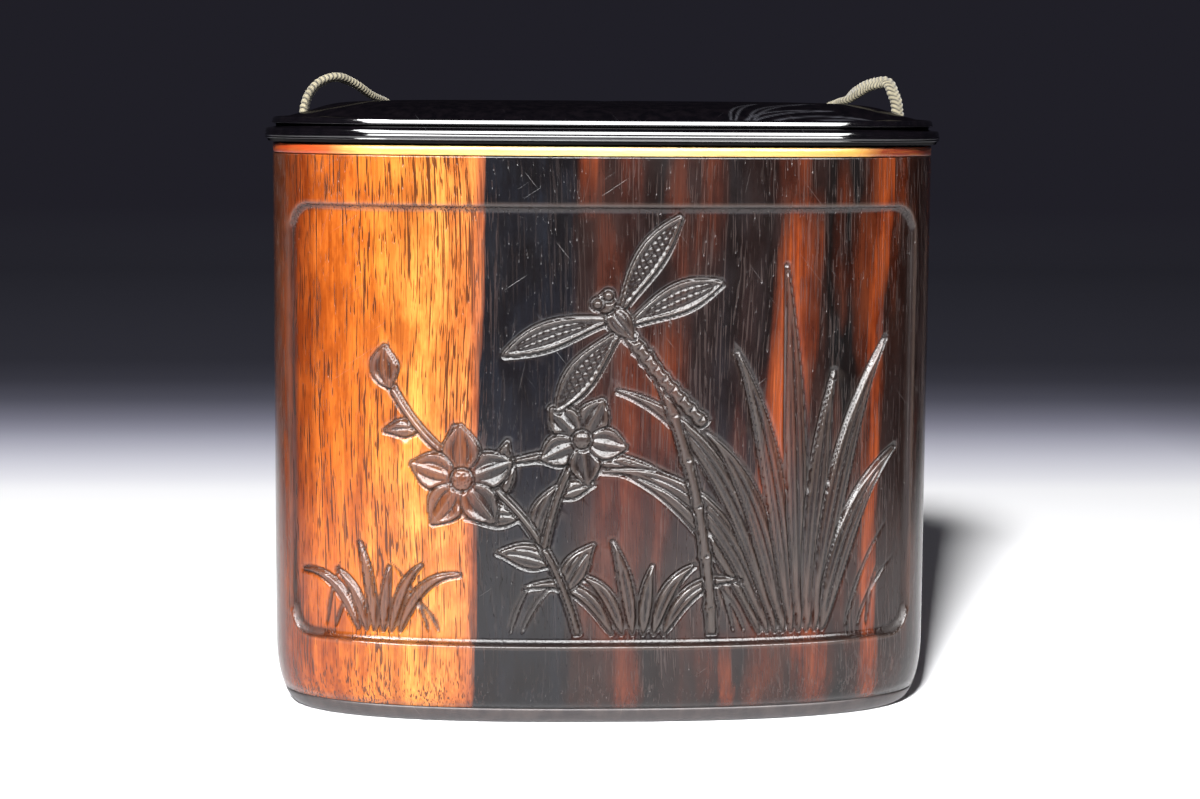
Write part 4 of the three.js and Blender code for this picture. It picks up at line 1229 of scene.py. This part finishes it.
def new_material(name):
    material = bpy.data.materials.new(name)
    material.use_nodes = True
    tree = material.node_tree
    shader = tree.nodes["Principled BSDF"]
    return material, tree, shader


def bump(tree, height, distance, strength=1.0):
    return put(tree, "ShaderNodeBump", {
        "Height": height, "Distance": distance, "Strength": strength}).outputs["Normal"]


# The block's stripes from left to right, in millimetres, at the height of the mouth
STRIPES = (
    # The rows at the far left are darkened with painted shade, where the wall turns away from the lamps.
    (-46.0, (0.053, 0.0161, 0.0062)),
    (-43.4, (0.062, 0.0174, 0.0062)),
    (-41.0, (0.161, 0.029, 0.0056)),
    (-37.0, (0.350, 0.080, 0.0100)),
    (-31.0, (0.430, 0.117, 0.0145)),
    (-24.0, (0.521, 0.180, 0.032)),
    (-18.6, (0.484, 0.155, 0.034)),
    (-17.0, (0.248, 0.068, 0.025)),
    (-16.2, (0.0056, 0.0056, 0.0074)),
    (-5.2, (0.005, 0.005, 0.0068)),
    (-3.8, (0.0149, 0.0074, 0.0062)),
    (-1.5, (0.021, 0.0093, 0.0074)),
    (4.5, (0.0186, 0.0081, 0.0068)),
    (6.8, (0.0074, 0.0056, 0.0056)),
    (9.0, (0.0161, 0.0074, 0.0062)),
    (14.0, (0.0112, 0.0062, 0.0056)),
    (16.0, (0.0056, 0.0043, 0.005)),
    (18.0, (0.0124, 0.0062, 0.0056)),
    (21.6, (0.0068, 0.0043, 0.0043)),
    (24.0, (0.021, 0.0074, 0.005)),
    (29.5, (0.0161, 0.0062, 0.0043)),
    (30.6, (0.0043, 0.0037, 0.0037)),
    (33.6, (0.0043, 0.0037, 0.0037)),
    (35.0, (0.021, 0.0068, 0.0043)),
    (39.0, (0.0161, 0.0062, 0.0043)),
    (46.0, (0.0136, 0.0056, 0.0037)),
)
STRIPE_LEAN = 0.021

# Orange flames on the brown part: the middle across at the lower and the upper end, the half
# width, the lower and the upper end in millimetres, and the strength
FLAMES = (
    (23.6, 26.6, 3.6, 22, 72, 0.85),
    (26.0, 26.4, 1.7, 66, 90, 0.4),
    (37.2, 36.6, 1.5, -20, 90, 0.7),
    (-2.6, -2.6, 1.9, 67, 90, 0.75),
    (3.0, 3.0, 2.4, 68, 90, 0.34),
    (8.5, 8.5, 3.6, 32, 56, 0.34),
    (13.0, 13.0, 2.0, 58, 90, 0.2),
    (4.0, 4.0, 2.6, -9, 12, 0.36),
    (17.5, 17.5, 1.7, -9, 13, 0.42),
    (30.5, 28.5, 2.8, -9, 22, 0.45),
)


def striped_wood():
    """Ebony of orange, slate and brown stripes, which run up through the whole block. They
    lie by x, lean a little, waver slowly, and have ragged edges along the fibres."""
    material, tree, shader = new_material("striped_wood")
    place = put(tree, "ShaderNodeTexCoord").outputs["Object"]
    grain = use(tree, grain_group)
    handling = use(tree, handling_group, Scratch_Amount=1.0)
    wear_and_shade = use(tree, wear_group, Dirt=0.9, Polish=1.0)
    axes = put(tree, "ShaderNodeSeparateXYZ", {"Vector": place}).outputs
    slow = noise(tree, scaled(tree, place, (60, 60, 20)), 1.0, 2.0)
    ragged = noise(tree, scaled(tree, place, (1300, 1300, 60)), 1.0, 3.0)
    width = maths(tree, "MULTIPLY", axes["X"], 1000.0)
    lean = maths(tree, "MULTIPLY", maths(tree, "SUBTRACT", 0.075, axes["Z"]), 1000 * STRIPE_LEAN)
    right = between(tree, width, -12.0, 20.0, 1.5, 8.0)
    waver = maths(tree, "MULTIPLY", maths(tree, "SUBTRACT", slow, 0.5), right)
    fray = maths(tree, "MULTIPLY", maths(tree, "SUBTRACT", ragged, 0.5), 2.2)
    across = maths(tree, "ADD", maths(tree, "ADD", width, lean), maths(tree, "ADD", waver, fray))
    low, high = STRIPES[0][0], STRIPES[-1][0]
    stops = [((x - low) / (high - low), colour) for x, colour in STRIPES]
    colour = ramp(tree, between(tree, across, low, high), stops)
    patches = noise(tree, scaled(tree, place, (190, 190, 26)), 1.0, 3.0)
    brown_part = between(tree, across, -5.0, -3.0)
    orange_part = between(tree, across, -14.0, -18.0)
    height = maths(tree, "MULTIPLY", axes["Z"], 1000.0)
    flames = 0.0
    for foot, head, half, bottom, top, strength in FLAMES:
        middle = between(tree, height, bottom, top, foot, head)
        aside = maths(tree, "ABSOLUTE", maths(tree, "SUBTRACT", across, middle))
        ends = maths(tree, "MINIMUM", between(tree, height, bottom, bottom + 12),
                     between(tree, height, top, top - 8))
        body = maths(tree, "MULTIPLY", between(tree, aside, half, 0.45 * half), ends)
        flames = maths(tree, "MAXIMUM", flames, maths(tree, "MULTIPLY", body, strength))
    streaks = noise(tree, scaled(tree, place, (2100, 2100, 34)), 1.0, 3.0, 0.6)
    flames = maths(tree, "MULTIPLY", flames, between(tree, streaks, 0.34, 0.6, 0.5, 1.0))
    flicker = maths(tree, "MULTIPLY", between(tree, patches, 0.5, 0.7), brown_part)
    flames = maths(tree, "MAXIMUM", flames, maths(tree, "MULTIPLY", flicker, 0.22))
    colour = mix(tree, flames, colour, (0.24, 0.044, 0.009, 1))
    dark = maths(tree, "MULTIPLY", between(tree, patches, 0.5, 0.36), brown_part)
    colour = mix(tree, maths(tree, "MULTIPLY", dark, 0.6), colour, (0.009, 0.006, 0.006, 1))
    figure = between(tree, grain["Figure"], 0.3, 0.72, 0.72, 1.2)
    fibre = between(tree, grain["Fibres"], 0.3, 0.7, 0.80, 1.16)
    mottle = noise(tree, scaled(tree, place, (330, 330, 120)), 1.0, 4.0, 0.62)
    mottle = between(tree, mottle, 0.38, 0.58, 0.62, 1.06)
    tone = maths(tree, "MULTIPLY", maths(tree, "MULTIPLY", figure, fibre), mottle)
    # The wood is made darker towards the bottom.
    tone = maths(tree, "MULTIPLY", tone, between(tree, height, -2.0, 14.0, 0.84, 1.0))
    colour = mix(tree, 1.0, colour, put(tree, "ShaderNodeCombineXYZ", {
        "X": tone, "Y": maths(tree, "POWER", tone, 1.4), "Z": maths(tree, "POWER", tone, 1.6)}).outputs[0],
        "MULTIPLY")
    pore_colour = mix(tree, orange_part, (0.075, 0.056, 0.052, 1), (0.044, 0.012, 0.005, 1))
    pore_share = between(tree, across, -6.0, 2.0, 0.12, 0.26)
    pore_share = maths(tree, "MAXIMUM", pore_share, maths(tree, "MULTIPLY", orange_part, 0.9))
    colour = mix(tree, maths(tree, "MULTIPLY", grain["Pores"], pore_share), colour, pore_colour)
    tooled = maths(tree, "MULTIPLY", wear_and_shade["Tooled"], between(tree, orange_part, 0.0, 1.0, 0.7, 0.84))
    tool_colour = mix(tree, orange_part, (0.0095, 0.0075, 0.007, 1), (0.062, 0.022, 0.013, 1))
    colour = mix(tree, tooled, colour, tool_colour)
    # Proud edges lightened: rubbed wear and a painted highlight.
    colour = mix(tree, maths(tree, "MULTIPLY", wear_and_shade["Polish"], 0.12), colour, (0.26, 0.20, 0.17, 1))
    # Cuts, concave places and the panel's cove darkened: dirt and painted shade.
    colour = mix(tree, maths(tree, "MULTIPLY", wear_and_shade["Dirt"], 0.9), colour, (0.010, 0.006, 0.005, 1))
    colour = mix(tree, maths(tree, "MULTIPLY", handling["Scratches"], 0.05), colour, (0.4, 0.34, 0.32, 1))
    tree.links.new(colour, shader.inputs["Base Color"])
    rough = between(tree, handling["Dull"], 0.3, 0.7, 0.13, 0.21)
    rough = maths(tree, "SUBTRACT", rough, maths(tree, "MULTIPLY", wear_and_shade["Polish"], 0.05))
    rough = maths(tree, "ADD", rough, between(tree, wear_and_shade["Dirt"], 0.0, 1.0, 0.0, 0.04))
    rough = maths(tree, "ADD", rough, between(tree, wear_and_shade["Dirt"], 0.84, 0.9, 0.0, 0.32))
    tree.links.new(rough, shader.inputs["Roughness"])
    shader.inputs["Specular IOR Level"].default_value = 0.5
    height = maths(tree, "SUBTRACT", maths(tree, "MULTIPLY", grain["Fibres"], 0.3),
                   maths(tree, "ADD", grain["Pores"], maths(tree, "MULTIPLY", handling["Scratches"], 0.25)))
    tree.links.new(bump(tree, height, 0.00008, 0.7), shader.inputs["Normal"])
    return material


def pale_wood():
    """The ring: golden in the middle and redder towards the two ends, with fine grain."""
    material, tree, shader = new_material("pale_wood")
    place = put(tree, "ShaderNodeTexCoord").outputs["Object"]
    handling = use(tree, handling_group, Scratch_Amount=0.6)
    axes = put(tree, "ShaderNodeSeparateXYZ", {"Vector": place}).outputs
    shift = maths(tree, "MULTIPLY", maths(tree, "SUBTRACT", noise(tree, place, 160.0), 0.5), 6.0)
    across = between(tree, maths(tree, "ADD", maths(tree, "MULTIPLY", axes["X"], 1000.0), shift), -46, 46)
    colour = ramp(tree, across, (
        (0.0, (0.20, 0.022, 0.005)), (0.10, (0.42, 0.06, 0.012)), (0.15, (0.60, 0.36, 0.08)),
        (0.5, (0.66, 0.50, 0.19)), (0.84, (0.52, 0.27, 0.05)), (0.9, (0.14, 0.022, 0.008)),
        (1.0, (0.09, 0.012, 0.005))))
    streak = noise(tree, scaled(tree, place, (300, 300, 4000)), 1.0, 3.0)
    colour = mix(tree, between(tree, streak, 0.45, 0.75, 0.0, 0.5), colour, (0.30, 0.11, 0.02, 1))
    tree.links.new(colour, shader.inputs["Base Color"])
    tree.links.new(between(tree, handling["Dull"], 0.3, 0.7, 0.22, 0.36), shader.inputs["Roughness"])
    shader.inputs["Coat Weight"].default_value = 0.4
    shader.inputs["Coat Roughness"].default_value = 0.15
    tree.links.new(bump(tree, streak, 0.00004, 0.5), shader.inputs["Normal"])
    return material


def dark_wood():
    """The base plate: grey-brown ebony, satin, with fine grain and rubbed patches."""
    material, tree, shader = new_material("dark_wood")
    grain = use(tree, grain_group, Pore_Limit=0.02)
    handling = use(tree, handling_group, Scratch_Amount=1.0)
    colour = mix(tree, between(tree, grain["Figure"], 0.35, 0.7), (0.028, 0.023, 0.024, 1),
                 (0.052, 0.041, 0.039, 1))
    colour = mix(tree, maths(tree, "MULTIPLY", handling["Scratches"], 0.3), colour, (0.3, 0.26, 0.25, 1))
    tree.links.new(colour, shader.inputs["Base Color"])
    tree.links.new(between(tree, handling["Dull"], 0.3, 0.7, 0.34, 0.5), shader.inputs["Roughness"])
    height = maths(tree, "ADD", grain["Fibres"], handling["Scratches"])
    tree.links.new(bump(tree, height, 0.00004, 0.5), shader.inputs["Normal"])
    return material


def black_lid():
    """The lid: polished black wood, nearly without grain, with fine scratches."""
    material, tree, shader = new_material("black_lid")
    grain = use(tree, grain_group, Pore_Limit=0.04)
    handling = use(tree, handling_group, Scratch_Amount=1.0)
    colour = mix(tree, between(tree, grain["Figure"], 0.4, 0.75), (0.0014, 0.0012, 0.0018, 1),
                 (0.004, 0.003, 0.004, 1))
    colour = mix(tree, maths(tree, "MULTIPLY", handling["Scratches"], 0.05), colour, (0.4, 0.4, 0.44, 1))
    cut = put(tree, "ShaderNodeAttribute", attribute_name="carved").outputs["Fac"]
    colour = mix(tree, maths(tree, "MULTIPLY", cut, 0.6), colour, (0.06, 0.06, 0.07, 1))
    tree.links.new(colour, shader.inputs["Base Color"])
    shader.inputs["Roughness"].default_value = 0.3
    shader.inputs["Specular IOR Level"].default_value = 0.0
    polish = put(tree, "ShaderNodeAttribute", attribute_name="polish").outputs["Fac"]
    dull = between(tree, handling["Dull"], 0.3, 0.7, 1.0, 0.85)
    tree.links.new(maths(tree, "MULTIPLY", polish, dull), shader.inputs["Coat Weight"])
    shader.inputs["Coat Roughness"].default_value = 0.07
    shader.inputs["Coat IOR"].default_value = 1.8
    height = maths(tree, "MULTIPLY", handling["Scratches"], -1.0)
    tree.links.new(bump(tree, height, 0.00003, 0.4), shader.inputs["Normal"])
    return material


def braid():
    """The cord: grey-green silk with painted shade between the strands, and threads along each one."""
    material, tree, shader = new_material("braid")
    uv = put(tree, "ShaderNodeUVMap", uv_map="UVMap").outputs["UV"]
    parts = put(tree, "ShaderNodeSeparateXYZ", {"Vector": uv}).outputs
    gap = put(tree, "ShaderNodeAttribute", attribute_name="hollow").outputs["Fac"]
    slant = maths(tree, "ADD", parts["X"], maths(tree, "ABSOLUTE", parts["Y"]))
    threads = maths(tree, "ABSOLUTE", maths(tree, "SINE", maths(tree, "MULTIPLY", slant, 22.0)))
    worn = noise(tree, put(tree, "ShaderNodeTexCoord").outputs["Object"], 420.0, 3.0)
    colour = mix(tree, between(tree, worn, 0.35, 0.7), (0.12, 0.10, 0.058, 1), (0.26, 0.225, 0.14, 1))
    colour = mix(tree, maths(tree, "MULTIPLY", threads, 0.4), colour, (0.42, 0.38, 0.26, 1))
    # Painted shade in the gaps between the strands.
    colour = mix(tree, between(tree, gap, 0.15, 0.75), colour, (0.018, 0.014, 0.008, 1))
    tree.links.new(colour, shader.inputs["Base Color"])
    shader.inputs["Roughness"].default_value = 0.75
    shader.inputs["Sheen Weight"].default_value = 0.25
    shader.inputs["Sheen Roughness"].default_value = 0.5
    tree.links.new(bump(tree, threads, 0.00006, 0.6), shader.inputs["Normal"])
    return material


def coral():
    """Polished coral: clear red, paler clouds, small pale pits."""
    material, tree, shader = new_material("coral")
    place = put(tree, "ShaderNodeTexCoord").outputs["Object"]
    handling = use(tree, handling_group, Scratch_Amount=0.5)
    clouds = noise(tree, place, 130.0, 4.0, 0.6)
    colour = ramp(tree, clouds, ((0.32, (0.62, 0.020, 0.014)), (0.5, (0.80, 0.045, 0.028)),
                                 (0.64, (0.86, 0.12, 0.075)), (0.75, (0.90, 0.26, 0.18))))
    cells = put(tree, "ShaderNodeTexVoronoi", {"Vector": place, "Scale": 260.0}).outputs["Distance"]
    pits = between(tree, cells, 0.13, 0.06)
    few = between(tree, noise(tree, place, 210.0, 1.0), 0.56, 0.62)
    pits = maths(tree, "MULTIPLY", pits, few)
    colour = mix(tree, maths(tree, "MULTIPLY", pits, 0.6), colour, (0.95, 0.62, 0.5, 1))
    tree.links.new(colour, shader.inputs["Base Color"])
    rough = maths(tree, "ADD", between(tree, handling["Dull"], 0.3, 0.7, 0.16, 0.26),
                  maths(tree, "MULTIPLY", pits, 0.3))
    tree.links.new(rough, shader.inputs["Roughness"])
    shader.inputs["Coat Weight"].default_value = 0.5
    shader.inputs["Coat Roughness"].default_value = 0.08
    height = maths(tree, "MULTIPLY", pits, -1.0)
    tree.links.new(bump(tree, height, 0.00012, 0.8), shader.inputs["Normal"])
    return material


# The floor and the light

def make_floor():
    """A sheet with a painted pool of light: white round the case, with painted shade that darkens
    it behind the case, as the light falls off, and towards the camera, so that the glossy black
    parts have something dark to reflect. Far behind it fades into the background."""
    material, tree, shader = new_material("floor")
    place = put(tree, "ShaderNodeTexCoord").outputs["Object"]
    axes = put(tree, "ShaderNodeSeparateXYZ", {"Vector": place}).outputs
    near, far = -0.4, 1.7
    # Painted falloff of the light: the floor's shade at each distance behind the case.
    light_falloff = ((-0.35, 0.02), (-0.22, 0.30), (-0.14, 0.92), (0.16, 0.97), (0.193, 0.94), (0.208, 0.83),
              (0.239, 0.66), (0.274, 0.44), (0.293, 0.32), (0.313, 0.23), (0.334, 0.165), (0.357, 0.108),
              (0.407, 0.062), (0.465, 0.048), (0.9, 0.072), (1.6, 0.20))
    stops = [((y - near) / (far - near), (shade, shade, shade * (1.35 - 0.35 * shade)))
             for y, shade in light_falloff]
    colour = ramp(tree, between(tree, axes["Y"], near, far), stops)
    # Painted shade on the floor beside the case, which darkens what the case's two ends reflect and the
    # light they get back from the floor.
    beside = between(tree, maths(tree, "ABSOLUTE", axes["X"]), 0.15, 0.26)
    close = between(tree, axes["Y"], 0.5, 0.2)
    colour = mix(tree, maths(tree, "MULTIPLY", beside, close), colour, (0.03, 0.03, 0.035, 1))
    tree.links.new(colour, shader.inputs["Base Color"])
    tree.links.new(between(tree, axes["Y"], 1.6, 0.8), shader.inputs["Alpha"])
    shader.inputs["Roughness"].default_value = 0.6
    shader.inputs["Specular IOR Level"].default_value = 0.0
    half = 3000.0
    corners = [[-half, -half, 0], [half, -half, 0], [half, half, 0], [-half, half, 0]]
    mesh_object("floor", corners, [np.array([[0, 1, 2, 3]])], material)


def softbox(name, place, size, power, lights=True, mirrored=True):
    """A flat lamp at a place in metres, facing the middle of the case. It can be one that only
    lights the pieces, or one that only shows in their gloss."""
    lamp = bpy.data.lights.new(name, "AREA")
    lamp.shape = "RECTANGLE"
    lamp.size, lamp.size_y = size
    lamp.energy = power
    holder = bpy.data.objects.new(name, lamp)
    holder.location = place
    holder.visible_diffuse = lights
    holder.visible_glossy = mirrored
    holder.visible_camera = False
    aim = Vector((0, 0, 0.045)) - Vector(place)
    holder.rotation_euler = aim.to_track_quat("-Z", "Y").to_euler()
    bpy.context.scene.collection.objects.link(holder)
    return holder


def light_scene(lit_pieces):
    world = bpy.data.worlds.new("world")
    bpy.context.scene.world = world
    world.use_nodes = True
    background = world.node_tree.nodes["Background"]
    background.inputs["Color"].default_value = (0.0144, 0.0138, 0.0200, 1)
    background.inputs["Strength"].default_value = 1.0
    softbox("card", (0.02, -0.72, 0.50), (1.55, 0.5), 46, lights=False)
    softbox("front", (-0.15, -0.74, 0.48), (0.09, 0.09), 23.5, mirrored=False)
    softbox("key", (-0.42, -0.38, 0.52), (0.12, 0.12), 4.0, lights=False)
    softbox("top", (0.05, -0.02, 0.65), (0.45, 0.35), 0.12, mirrored=False)
    rear = softbox("rear", (0.25, 0.85, 0.17), (0.5, 0.2), 4.5, mirrored=False)
    case_alone = bpy.data.collections.new("lit from behind")
    for piece in lit_pieces:
        case_alone.objects.link(piece)
    rear.light_linking.receiver_collection = case_alone
    bpy.context.scene.view_settings.view_transform = "Standard"


# The whole object

wood = striped_wood()
silk = braid()
pieces = {
    "case_body": (make_case(wood), "striped_wood"),
    "rim_band": (make_rim_band(pale_wood()), "pale_wood"),
    "base_plate": (make_base_plate(dark_wood()), "dark_wood"),
    "lid": (make_lid(black_lid()), "black_lid"),
    "cord_held": (make_held_cord(silk), "braid"),
    "bead": (make_bead(coral()), "coral"),
    "cord_knot": (make_knot(silk), "braid"),
}
for node, (piece, slot) in pieces.items():
    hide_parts(node)
    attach(piece, "root")

for name, points, side in (("strand_left", LEFT_STRAND, -1), ("strand_right", RIGHT_STRAND, 1)):
    strand, route, stations = make_strand(name, points, side, silk)
    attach(strand, "root")

lit_pieces = [piece for piece in bpy.context.scene.objects if piece.type == "MESH"]
make_floor()
light_scene(lit_pieces)
